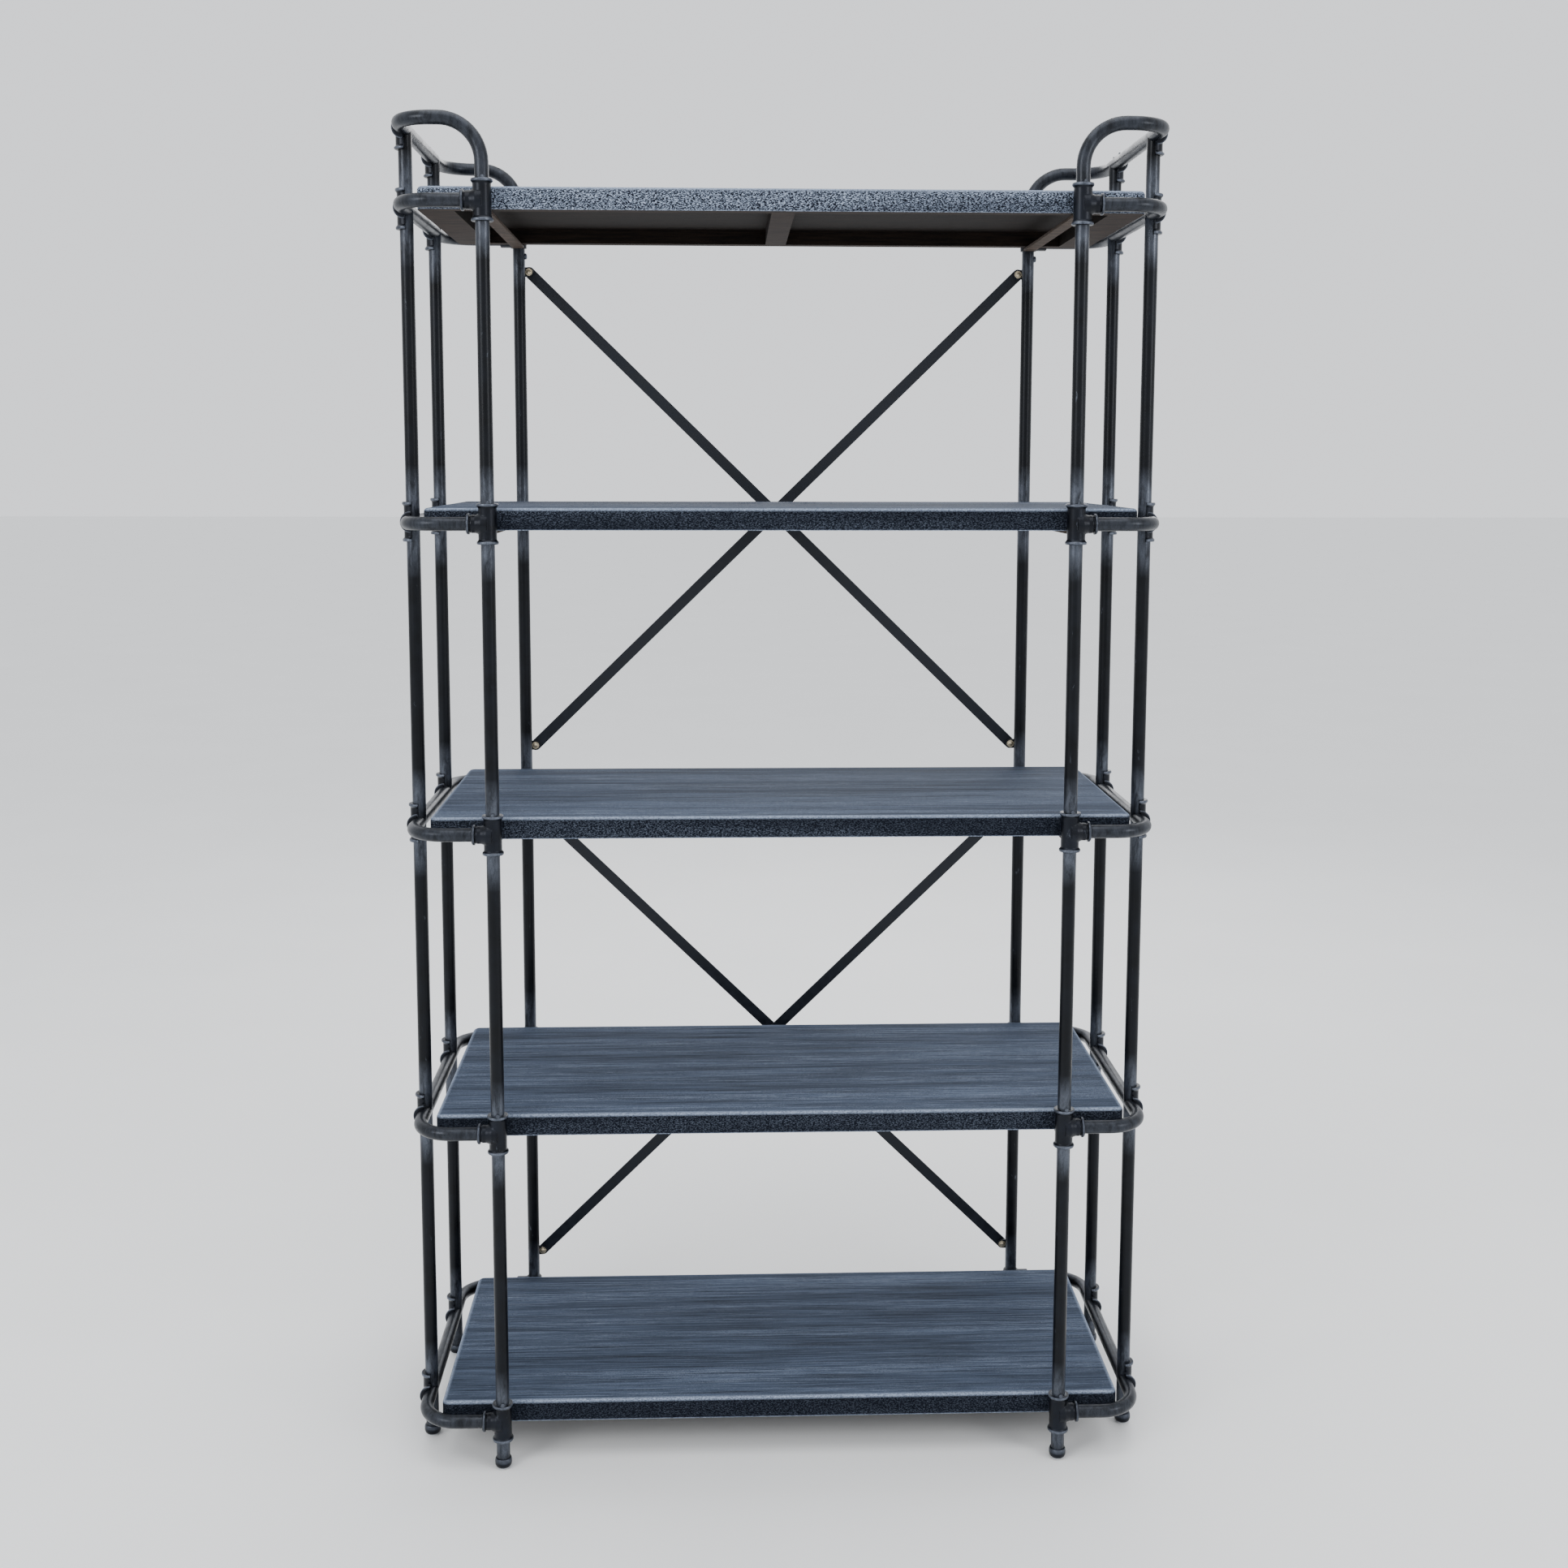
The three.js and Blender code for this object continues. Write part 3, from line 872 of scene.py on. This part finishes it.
@dataclass
class Casting:
    """Cast-look collars, covers and saddles: turned pieces fused with soft inner corners."""

    layout: Layout
    lip: float = 5 * MM           # width of a ring
    grain: float = 0.75 * MM      # fineness of the fused surface
    groove: float = 1 * MM        # depth of the groove beside a branch's ring
    bead: float = 3 * MM          # radius of the weld bead on a tee

    @property
    def body(self) -> float:
        """Outer radius between the rings."""
        return self.layout.ring - 2.3 * MM

    def barrel(self, name: str, half: float, along: Vector) -> Object:
        """Turns a sleeve with a rounded ring at each end.

        Args:
            name: its name.
            half: half its length.
            along: its axis.

        Returns:
            The closed sleeve.
        """
        swell = self.layout.ring
        steps = [
            (self.body, -half), (swell - 0.7 * MM, -half + 0.2 * MM), (swell, -half + 1.2 * MM),
            (swell, -half + self.lip - 1.6 * MM), (self.body + 0.5 * MM, -half + self.lip),
            (self.body, -half + self.lip + 1.2 * MM),
        ]
        back = [(r, -z) for r, z in reversed(steps)]
        return turned(name, steps + back, along)

    def fuse(self, parts: list[Object], name: str) -> Object:
        """Fuses turned parts into one soft casting.

        Args:
            parts: the closed parts.
            name: the casting's name.

        Returns:
            The casting.
        """
        whole = joined(parts, name)
        modify(whole, "REMESH", mode="VOXEL", voxel_size=self.grain, use_smooth_shade=True)
        modify(whole, "SMOOTH", factor=0.5, iterations=2)
        return whole

    def tee(self, bead_angle: float) -> Object:
        """Builds a ringed collar with a branch towards +X and a weld bead on its upper ring.

        Args:
            bead_angle: where the bead is, in degrees from +X.

        Returns:
            The tee, dressed.
        """
        lay = self.layout
        upright = self.barrel("tee_barrel", lay.collar_half, UP)
        swell, reach = lay.ring - 0.6 * MM, lay.branch
        branch = turned("tee_branch", [
            (self.body + 3.4 * MM, 0), (self.body + 2.8 * MM, 8 * MM), (self.body + 1.1 * MM, 12 * MM),
            (self.body, 15 * MM), (self.body, reach - self.lip - 1.4 * MM),
            (self.body - self.groove, reach - self.lip - 0.4 * MM),
            (self.body - self.groove, reach - self.lip + 0.2 * MM),
            (swell, reach - self.lip + 1.2 * MM), (swell, reach - 1.2 * MM), (self.body, reach),
        ], RIGHT)
        bead_at = Matrix.Rotation(math.radians(bead_angle), 4, "Z") @ Vector((lay.tube, 0, 0))
        bead = turned("tee_bead", [
            (self.bead, lay.collar_half - 2 * MM), (self.bead, lay.collar_half + 1.5 * MM),
            (self.bead * 0.6, lay.collar_half + 3.6 * MM),
        ], UP, at=bead_at, facets=16)
        tee = self.fuse([upright, branch, bead], "tee_pattern")

        def rubbed(point: Vector) -> float:
            """Wears the rings and the bead, whose pale crests are partly a painted highlight."""
            if point.z > lay.collar_half:
                return 0.6
            if point.x > lay.branch - self.lip:
                return ramp(math.hypot(point.y, point.z), self.body + 0.8 * MM, lay.ring)
            if abs(point.z) < lay.collar_half - self.lip:
                return 0.0
            return ramp(math.hypot(point.x, point.y), self.body + 0.8 * MM, lay.ring)

        return dress(paint_wear_highlight(tee, rubbed), Finish.CASTING)

    def sleeve(self) -> Object:
        """Builds the plain sleeve of a rear post, with a branch towards +X."""
        lay = self.layout
        tall, lip = lay.sleeve_half, 0.8 * MM
        upright = turned("sleeve_upright", [
            (self.body - lip, -tall), (self.body, lip - tall), (self.body, tall - lip),
            (self.body - lip, tall),
        ], UP)
        branch = turned("sleeve_branch", [
            (self.body, 0), (self.body, lay.branch - lip), (self.body - lip, lay.branch),
        ], RIGHT)
        sleeve = self.fuse([upright, branch], "sleeve_pattern")
        return dress(paint_wear_highlight(sleeve, lambda point: 0.0), Finish.CASTING)

    def half(self, whole: Object, name: str) -> Object:
        """Keeps the +X half of a casting and closes its cut face.

        Args:
            whole: the casting.
            name: the half's name.

        Returns:
            The half.
        """
        with editing(whole):
            bpy.ops.mesh.select_all(action="SELECT")
            bpy.ops.mesh.bisect(
                plane_co=(0, 0, 0), plane_no=(1, 0, 0), use_fill=True, clear_inner=True
            )
        whole.name = name
        return whole

    def dress_ring_wear_highlight(self, cover: Object) -> Object:
        """Wears the rings of a cover or saddle; their pale crests are partly a painted highlight.

        Args:
            cover: the casting, with its crossing at the origin.

        Returns:
            The casting, dressed.
        """
        swell = self.layout.ring

        def rubbed(point: Vector) -> float:
            """Takes the nearer of the two sleeves."""
            if abs(point.z) > abs(point.y):
                return ramp(math.hypot(point.x, point.y), self.body + 0.5 * MM, swell)
            return ramp(math.hypot(point.x, point.z), self.body + 0.5 * MM, swell)

        return dress(paint_wear_highlight(cover, rubbed), Finish.CASTING)

    def cover(self) -> Object:
        """Builds the half cover where a side rail crosses an outer post."""
        lay = self.layout
        parts = [
            self.barrel("cover_upright", lay.collar_half, UP),
            self.barrel("cover_along", lay.cover_half, BACK),
        ]
        return self.dress_ring_wear_highlight(self.half(self.fuse(parts, "cover_whole"), "cover_pattern"))

    def saddle(self) -> Object:
        """Builds the half saddle where an outer post ends under a top rail."""
        lay = self.layout
        along = self.barrel("saddle_along", lay.cover_half, BACK)
        steps = [
            (self.body, 0), (self.body, self.lip - lay.saddle),
            (lay.ring, self.lip - lay.saddle - 1.6 * MM), (lay.ring, 1.4 * MM - lay.saddle),
            (self.body, -lay.saddle),
        ]
        under = turned("saddle_under", steps, UP)
        return self.dress_ring_wear_highlight(self.half(self.fuse([along, under], "saddle_whole"), "saddle_pattern"))


@dataclass
class PipeFrame:
    """Posts, bowed rails and the castings that hide their joints."""

    layout: Layout
    pipe: Pipe
    casting: Casting
    rail_wear: float = 0.12
    post_wear: float = 0.35
    wear_peak: float = 40 * MM    # from a rail's centre to the most worn place on a post
    wear_end: float = 75 * MM     # from there on the post is unworn
    screw_radius: float = 4.5 * MM
    screw_drop: float = 24 * MM   # under the top side rail's centre

    def posts(self) -> None:
        """Builds the eight posts."""
        lay = self.layout
        for side, sx in SIDES.items():
            for end, sy in ENDS.items():
                for kind, x, y in (
                    ("main", lay.main_x, lay.main_y), ("outer", lay.outer_x, lay.outer_y)
                ):
                    node = f"{kind}_post_{end}_{side}"
                    ends = [Vector((x * sx, y * sy, corner.z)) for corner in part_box(node)]
                    post = self.pipe.run(f"{node}_pipe", ends, [])
                    self.weather(post)
                    dress(post, Finish.PIPE)
                    hand_in(post, FRAME_BODY, "pipe_metal", node)

    def screws(self) -> None:
        """Builds the round screw head on the right of each rear post, under the top board."""
        lay = self.layout
        radius = self.screw_radius
        for side, sx in SIDES.items():
            at = Vector((sx * lay.main_x + lay.tube, lay.main_y, lay.rails[1] - self.screw_drop))
            head = turned(f"rear_post_screw_{side}", [
                (radius, -1 * MM), (radius, 1.6 * MM), (radius * 0.8, 2.6 * MM),
                (radius * 0.4, 3.1 * MM),
            ], RIGHT, at=at, facets=24)
            smooth(dress(paint_wear_highlight(head, lambda point: 0.7), Finish.CASTING))
            hand_in(head, FRAME_BODY, "bolt")

    def weather(self, post: Object) -> None:
        """Wears a straight post beside its collars, and divides it where the wear changes.

        Args:
            post: the post, which has no points between its ends yet.
        """
        heights = self.layout.rails.values()
        with editing(post):
            for height in heights:
                for offset in (-self.wear_end, -self.wear_peak, self.wear_peak, self.wear_end):
                    bpy.ops.mesh.select_all(action="SELECT")
                    bpy.ops.mesh.bisect(plane_co=(0, 0, height + offset), plane_no=(0, 0, 1))
        paint_wear_highlight(post, lambda point: self.post_wear if any(
            abs(abs(point.z - height) - self.wear_peak) < 5 * MM for height in heights
        ) else 0.0)

    def side_rails(self) -> None:
        """Builds a bowed rail with its two covers for each side of each level."""
        lay = self.layout
        cover = self.casting.cover()
        inset = lay.tube + 1.5 * MM
        for side, sx in SIDES.items():
            for level, z in lay.rails.items():
                corners = [
                    Vector((sx * (lay.main_x + inset), -lay.main_y, z)),
                    Vector((sx * lay.outer_x, -lay.main_y, z)),
                    Vector((sx * lay.outer_x, lay.main_y, z)),
                    Vector((sx * (lay.main_x + inset), lay.main_y, z)),
                ]
                node = f"side_rail_{level}_{side}"
                rail = self.pipe.run(node + "_pipe", corners, [lay.bend, lay.bend])
                dress(paint_wear_highlight(rail, lambda point: self.rail_wear), Finish.PIPE)
                covers = [
                    copied(cover, f"cover_{level}_{side}_{end}", Vector((sx * lay.outer_x, y, z)),
                           0.0 if sx > 0 else math.pi)
                    for end, y in (("front", -lay.outer_y), ("rear", lay.outer_y))
                ]
                hand_in(joined([rail, *covers], node + "_welded"), FRAME_BODY, "pipe_metal", node)
        removed(cover)

    def top_rails(self) -> None:
        """Builds the two bowed top rails with their saddles."""
        lay = self.layout
        saddle = self.casting.saddle()
        for side, sx in SIDES.items():
            node = f"top_rail_{side}"
            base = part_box(node)[0].z
            corners = [
                Vector((sx * lay.main_x, -lay.main_y, base)),
                Vector((sx * lay.main_x, -lay.main_y, lay.top)),
                Vector((sx * lay.outer_x, -lay.main_y, lay.top)),
                Vector((sx * lay.outer_x, lay.main_y, lay.top)),
                Vector((sx * lay.main_x, lay.main_y, lay.top)),
                Vector((sx * lay.main_x, lay.main_y, base)),
            ]
            bends = [lay.rise_bend, lay.bend, lay.bend, lay.rise_bend]
            rail = self.pipe.run(node + "_pipe", corners, bends)
            dress(paint_wear_highlight(rail, lambda point: self.rail_wear), Finish.PIPE)
            saddles = [
                copied(saddle, f"saddle_{side}_{end}", Vector((sx * lay.outer_x, y, lay.top)),
                       0.0 if sx > 0 else math.pi)
                for end, y in (("front", -lay.outer_y), ("rear", lay.outer_y))
            ]
            hand_in(joined([rail, *saddles], node + "_welded"), FRAME_BODY, "pipe_metal", node)
        removed(saddle)


@dataclass
class Brackets:
    """Flat ledger bars with a ringed tee at the front end and a plain sleeve at the rear."""

    layout: Layout
    casting: Casting
    width: float = 17 * MM        # of a ledger
    thickness: float = 4 * MM     # of a ledger
    bead_angle: float = -80.0     # of the weld bead on a front tee

    def build(self) -> None:
        """Builds the ten brackets."""
        lay = self.layout
        sleeve = self.casting.sleeve()
        for side, sx in SIDES.items():
            # A left tee is turned half round, and its bead still faces the front.
            tee = self.casting.tee(self.bead_angle + (0 if sx > 0 else 180))
            for level, z in lay.rails.items():
                node = f"shelf_bracket_{level}_{side}"
                x = sx * lay.main_x
                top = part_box(f"shelf_board_{level}")[0].z - 0.35 * MM
                reach = lay.main_y - lay.tube - 0.5 * MM
                ledger = block(Vector((x - self.width / 2, -reach, top - self.thickness)),
                               Vector((x + self.width / 2, reach, top)), f"ledger_{level}_{side}")
                modify(ledger, "BEVEL", width=0.6 * MM, segments=2)
                dress(ledger, Finish.LEDGER)
                collars = [
                    copied(pattern, f"collar_{level}_{side}_{end}",
                           Vector((x, ENDS[end] * lay.main_y, z)), 0.0 if sx > 0 else math.pi)
                    for end, pattern in (("front", tee), ("rear", sleeve))
                ]
                whole = joined([*collars, ledger], node + "_welded")
                hand_in(whole, FRAME_BODY, "cast_collar", node)
            removed(tee)
        removed(sleeve)


@dataclass
class Boards:
    """Loose shelf boards, hollow underneath between aprons, end boards and a batten."""

    corner: float = 10 * MM       # radius of the upright corners
    edge: float = 5 * MM          # radius of the top arrises
    skin: float = 9 * MM          # thickness over the hollows
    apron: float = 20 * MM        # thickness of the front and rear aprons
    end_board: float = 45 * MM    # width of the solid ends
    batten: float = 30 * MM       # width of the batten between the hollows

    def build(self) -> None:
        """Builds the five boards."""
        for level in LEVELS:
            node = f"shelf_board_{level}"
            low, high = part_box(node)
            board = block(low, high, node + "_wood")
            self.round_off(board, low, high)
            self.hollow(board, low, high)
            finishes = (Finish.BOARD, Finish.UNDERSIDE, Finish.RECESS_SHADE)
            dress(board, *finishes)
            for face in board.data.polygons:
                face.material_index = finishes.index(self.finish_of(face, low, high))
            smooth(board, 35)
            hand_in(board, f"shelf_{level}", "shelf_board", node)

    def finish_of(self, face: MeshPolygon, low: Vector, high: Vector) -> Finish:
        """Says which finish a face takes.

        Args:
            face: the face.
            low: the board's lowest corner.
            high: its highest corner.

        Returns:
            The finish.
        """
        # walls and ceiling of the hollows take the darker wood copy: painted shade
        if self.inside(face.center, low, high) and face.center.z > low.z + 1 * MM:
            return Finish.RECESS_SHADE
        if self.inside(face.center, low, high) or face.normal.z < -0.5:
            return Finish.UNDERSIDE
        return Finish.BOARD

    def inside(self, point: Vector, low: Vector, high: Vector) -> bool:
        """Says whether a point is on a wall of the hollow underside."""
        return (
            point.z < high.z - self.edge
            and low.y + self.apron / 2 < point.y < high.y - self.apron / 2
            and low.x + self.end_board / 2 < point.x < high.x - self.end_board / 2
        )

    def round_off(self, board: Object, low: Vector, high: Vector) -> None:
        """Rounds the upright corners, then the top arrises.

        Args:
            board: the block.
            low: its lowest corner.
            high: its highest corner.
        """
        def outline(point: Vector) -> bool:
            """Says whether a point is on the board's outline, not inside it."""
            return min(
                point.y - low.y, high.y - point.y, point.x - low.x, high.x - point.x
            ) < self.corner

        bevel_edges(board, self.corner, 6, lambda a, b: abs(a.z - b.z) > (high.z - low.z) / 2)
        bevel_edges(board, self.edge, 5, lambda a, b: (
            min(a.z, b.z) > high.z - 1e-5 and outline(a) and outline(b)
        ))

    def hollow(self, board: Object, low: Vector, high: Vector) -> None:
        """Cuts the two hollows of the underside.

        Args:
            board: the rounded block.
            low: its lowest corner.
            high: its highest corner.
        """
        for sx in SIDES.values():
            near, far = sx * self.batten / 2, sx * (high.x - self.end_board)
            cutter = block(
                Vector((min(near, far), low.y + self.apron, low.z - 1 * MM)),
                Vector((max(near, far), high.y - self.apron, high.z - self.skin)), "hollow",
            )
            modify(board, "BOOLEAN", operation="DIFFERENCE", object=cutter, solver="EXACT")
            removed(cutter)


@dataclass
class Braces:
    """Two pairs of crossed flat bars at the back, with their bolts."""

    half_width: float = 8 * MM
    lug: float = 7 * MM           # half height of a lug, and the radius of its nose
    lug_thickness: float = 2.2 * MM
    lug_root: float = 9 * MM      # how far a lug reaches into its post
    head: float = 2.35 * MM       # from a bolt's front to the lug

    def bars(self) -> None:
        """Builds the four bars, round at the ends, with bolt holes left to the bolts."""
        for bay in ("upper", "lower"):
            for way, sign in (("rising", 1), ("falling", -1)):
                node = f"{bay}_brace_{way}"
                low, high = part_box(node)
                run = high.x - low.x - 2 * self.half_width
                rise = high.z - low.z - 2 * self.half_width
                half = math.hypot(run, rise) / 2 + self.half_width
                bar = block(Vector((-half, low.y, -self.half_width)),
                            Vector((half, high.y, self.half_width)), node + "_bar")
                self.round_ends(bar, half)
                modify(bar, "BEVEL", width=0.3 * MM, segments=1, limit_method="ANGLE")
                bar.rotation_euler = (0, -sign * math.atan2(rise, run), 0)
                bar.location = (0, 0, (low.z + high.z) / 2)
                settle(bar)
                smooth(dress(bar, Finish.BAR), 35)
                hand_in(bar, FRAME_BODY, "flat_bar", node)

    def round_ends(self, bar: Object, half: float) -> None:
        """Bevels the four end edges of a bar into half circles.

        Args:
            bar: the bar, along X.
            half: half its length.
        """
        bevel_edges(
            bar, self.half_width * 0.98, 8,
            lambda a, b: (
                abs(abs(a.x) - half) < 1e-5 and abs(a.x - b.x) < 1e-5 and abs(a.z - b.z) < 1e-5
            ),
        )

    def bolts(self) -> None:
        """Builds the ten bolts: a low round head on a washer, a shank and a nut."""
        nodes = [f"{bay}_brace_centre_bolt" for bay in ("upper", "lower")] + [
            f"{bay}_brace_bolt_{place}_{side}"
            for bay in ("upper", "lower") for place in ("top", "bottom") for side in SIDES
        ]
        for node in nodes:
            low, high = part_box(node)
            centre = Vector(((low.x + high.x) / 2, low.y, (low.z + high.z) / 2))
            length, radius = high.y - low.y, (high.x - low.x) / 2
            head = turned(f"{node}_head", [
                (radius * 0.35, 0), (radius * 0.58, 0.5 * MM), (radius * 0.68, 1.3 * MM),
                (radius * 0.97, 1.32 * MM), (radius, 1.6 * MM), (radius * 0.97, 1.95 * MM),
                (radius * 0.45, 2 * MM), (radius * 0.45, length - 0.3 * MM),
            ], BACK, at=centre, facets=32)
            nut = turned(f"{node}_nut", [
                (radius * 0.82, length - 2 * MM), (radius * 0.88, length - 1.7 * MM),
                (radius * 0.88, length - 0.3 * MM), (radius * 0.8, length),
            ], BACK, at=centre, facets=6)
            bolt = smooth(dress(joined([head, nut], node + "_zinc"), Finish.ZINC), 30)
            hand_in(bolt, FRAME_BODY, "bolt", node)

    def lugs(self) -> None:
        """Builds the lugs on the rear posts, one behind each end bolt's head."""
        for bay in ("upper", "lower"):
            for place in ("top", "bottom"):
                for side, sx in SIDES.items():
                    low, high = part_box(f"{bay}_brace_bolt_{place}_{side}")
                    front = low.y + self.head
                    nose_at = Vector(((low.x + high.x) / 2, front, (low.z + high.z) / 2))
                    post_low, post_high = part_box(f"main_post_front_{side}")
                    root = (post_low.x if sx > 0 else post_high.x) + sx * self.lug_root
                    near, far = sorted((root, nose_at.x))
                    plate = block(
                        Vector((near, front, nose_at.z - self.lug)),
                        Vector((far, front + self.lug_thickness, nose_at.z + self.lug)),
                        f"lug_{bay}_{place}_{side}",
                    )
                    nose = turned(
                        "lug_nose", [(self.lug, 0), (self.lug, self.lug_thickness)], BACK,
                        at=nose_at, facets=32,
                    )
                    lug = joined([plate, nose], plate.name)
                    modify(lug, "REMESH", mode="VOXEL", voxel_size=0.5 * MM)
                    hand_in(smooth(dress(lug, Finish.BAR), 35), FRAME_BODY, "pipe_metal")


@dataclass
class Feet:
    """Rounded foot caps with a pale glide under each."""

    glide: float = 1.6 * MM

    def build(self) -> None:
        """Builds the eight feet."""
        for kind in ("main", "outer"):
            for end in ENDS:
                for side in SIDES:
                    node = f"{kind}_foot_{end}_{side}"
                    low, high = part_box(node)
                    centre = Vector(((low.x + high.x) / 2, (low.y + high.y) / 2, low.z))
                    radius, tall = (high.x - low.x) / 2, high.z - low.z
                    arc = [
                        (radius * (0.62 + 0.38 * math.sin(math.radians(a))),
                         self.glide + (tall * 0.42) * (1 - math.cos(math.radians(a))))
                        for a in range(0, 91, 15)
                    ]
                    shoulder = [
                        (radius * (0.84 + 0.16 * math.cos(math.radians(a))),
                         tall * 0.6 + tall * 0.4 * math.sin(math.radians(a)))
                        for a in range(0, 91, 18)
                    ]
                    cap = turned(node + "_cap", arc + shoulder, UP, at=centre)
                    # The shoulder is worn, and its rim half as much.
                    paint_wear_highlight(cap, lambda p: 0.6 * ramp(p.z, tall * 0.5, tall * 0.8)
                               * ramp(tall, p.z - 1 * MM, p.z + 1 * MM))
                    dress(cap, Finish.CASTING)
                    pad = turned(node + "_glide", [
                        (radius * 0.58, 0), (radius * 0.66, 0.3 * MM), (radius * 0.66, self.glide),
                    ], UP, at=centre)
                    dress(pad, Finish.GLIDE)
                    foot = smooth(joined([cap, pad], node + "_turned"), 40)
                    hand_in(foot, FRAME_BODY, "foot_cap", node)


# ---- studio ---------------------------------------------------------------------------------


@dataclass
class Studio:
    """Pale floor, soft light and the camera."""

    eye: Vector
    yaw: float
    pitch: float
    roll: float
    focal: float                  # focal length over the frame's width
    shift: float

    def camera(self) -> None:
        """Sets the camera up."""
        ahead = Vector((math.sin(self.yaw) * math.cos(self.pitch),
                        math.cos(self.yaw) * math.cos(self.pitch), -math.sin(self.pitch)))
        right = Vector((math.cos(self.yaw), -math.sin(self.yaw), 0))
        up = right.cross(ahead)
        spun = Matrix.Rotation(-self.roll, 3, ahead)
        axes = Matrix((spun @ right, spun @ up, -ahead)).transposed().to_4x4()
        data = bpy.data.cameras.new("camera")
        data.sensor_fit = "HORIZONTAL"
        data.sensor_width = 36
        data.lens = 36 * self.focal
        data.shift_y = self.shift
        view = bpy.data.objects.new("camera", data)
        view.matrix_world = Matrix.Translation(self.eye) @ axes
        bpy.context.scene.collection.objects.link(view)
        bpy.context.scene.camera = view

    def floor(self) -> None:
        """Lays a wide floor."""
        deselect()
        bpy.ops.mesh.primitive_plane_add(size=80, location=(0, 0, 0))
        ground = settle(bpy.context.object, "floor")
        dress(ground, Finish.FLOOR)

    def lights(self) -> None:
        """Hangs large soft lights: overhead, front left, front right and one behind."""
        world = bpy.data.worlds.new("studio")
        world.use_nodes = True
        sky = world.node_tree.nodes["Background"]
        sky.inputs["Color"].default_value = linear("f4f6fa")
        sky.inputs["Strength"].default_value = 1.35
        bpy.context.scene.world = world
        target = Vector((0, 0, 0.95))
        for name, at, size, power in (
            ("overhead", Vector((0.0, -0.6, 3.6)), 2.6, 50),
            ("front_left", Vector((-2.8, -2.6, 2.3)), 1.4, 50),
            ("front_right", Vector((2.9, -2.4, 1.9)), 1.2, 32),
            ("behind", Vector((0.6, 3.0, 2.6)), 2.4, 34),
        ):
            data = bpy.data.lights.new(name, "AREA")
            data.size = size
            data.energy = power
            lamp = bpy.data.objects.new(name, data)
            lamp.location = at
            lamp.rotation_euler = (target - at).to_track_quat("-Z", "Y").to_euler()
            bpy.context.scene.collection.objects.link(lamp)


def make_finishes() -> None:
    """Makes every material once."""
    low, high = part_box("shelf_board_5")
    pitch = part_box("shelf_board_4")[0].z - low.z
    for finish in (
        RubbedIron(Finish.PIPE),
        # castings: painted blue sheen, and pale ring crests that are partly a painted highlight
        RubbedIron(Finish.CASTING, dark="060910", sheen="121721", edge_share=0.36),
        SlateBoard(high.x, high.y, high.z - low.z, low.z, pitch),
        BareWood(Finish.UNDERSIDE, dark="1a1411", pale="3c3029"),
        # darker copy of the underside wood: painted shade in the hollows
        BareWood(Finish.RECESS_SHADE, dark="0b0807", pale="211812"),
        BareWood(Finish.LEDGER, dark="241e1a", pale="5e5046", grain_mm=2.5),
        # flat bar: the paler blue mottle is a painted sheen
        MottledSurface(Finish.BAR, "080c13", "161d29", 0.35, 0.42, 9.0),
        MottledSurface(Finish.ZINC, "b9a888", "e6dcc4", 0.85, 0.34, 2.0),
        MottledSurface(Finish.GLIDE, "a9acb0", "c9ccd0", 0.0, 0.5, 1.0),
        MottledSurface(Finish.FLOOR, "eceded", "f3f4f4", 0.0, 0.7, 400.0),
    ):
        finish.build()


def build() -> None:
    """Builds the bookcase and its studio."""
    make_finishes()
    layout = Layout.from_frame()
    casting = Casting(layout)
    pipes = PipeFrame(layout, Pipe(layout.tube), casting)
    pipes.posts()
    pipes.screws()
    pipes.side_rails()
    pipes.top_rails()
    Brackets(layout, casting).build()
    Boards().build()
    braces = Braces()
    braces.bars()
    braces.bolts()
    braces.lugs()
    Feet().build()
    studio = Studio(eye=Vector((-0.0787, -2.4599, 1.3658)), yaw=0.03516, pitch=0.11289,
                    roll=0.00186, focal=1.11522, shift=-0.08)
    studio.camera()
    studio.floor()
    studio.lights()


if __name__ == "__main__":
    logging.basicConfig(level=logging.INFO, format="%(name)s: %(message)s")
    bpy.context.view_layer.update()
    build()
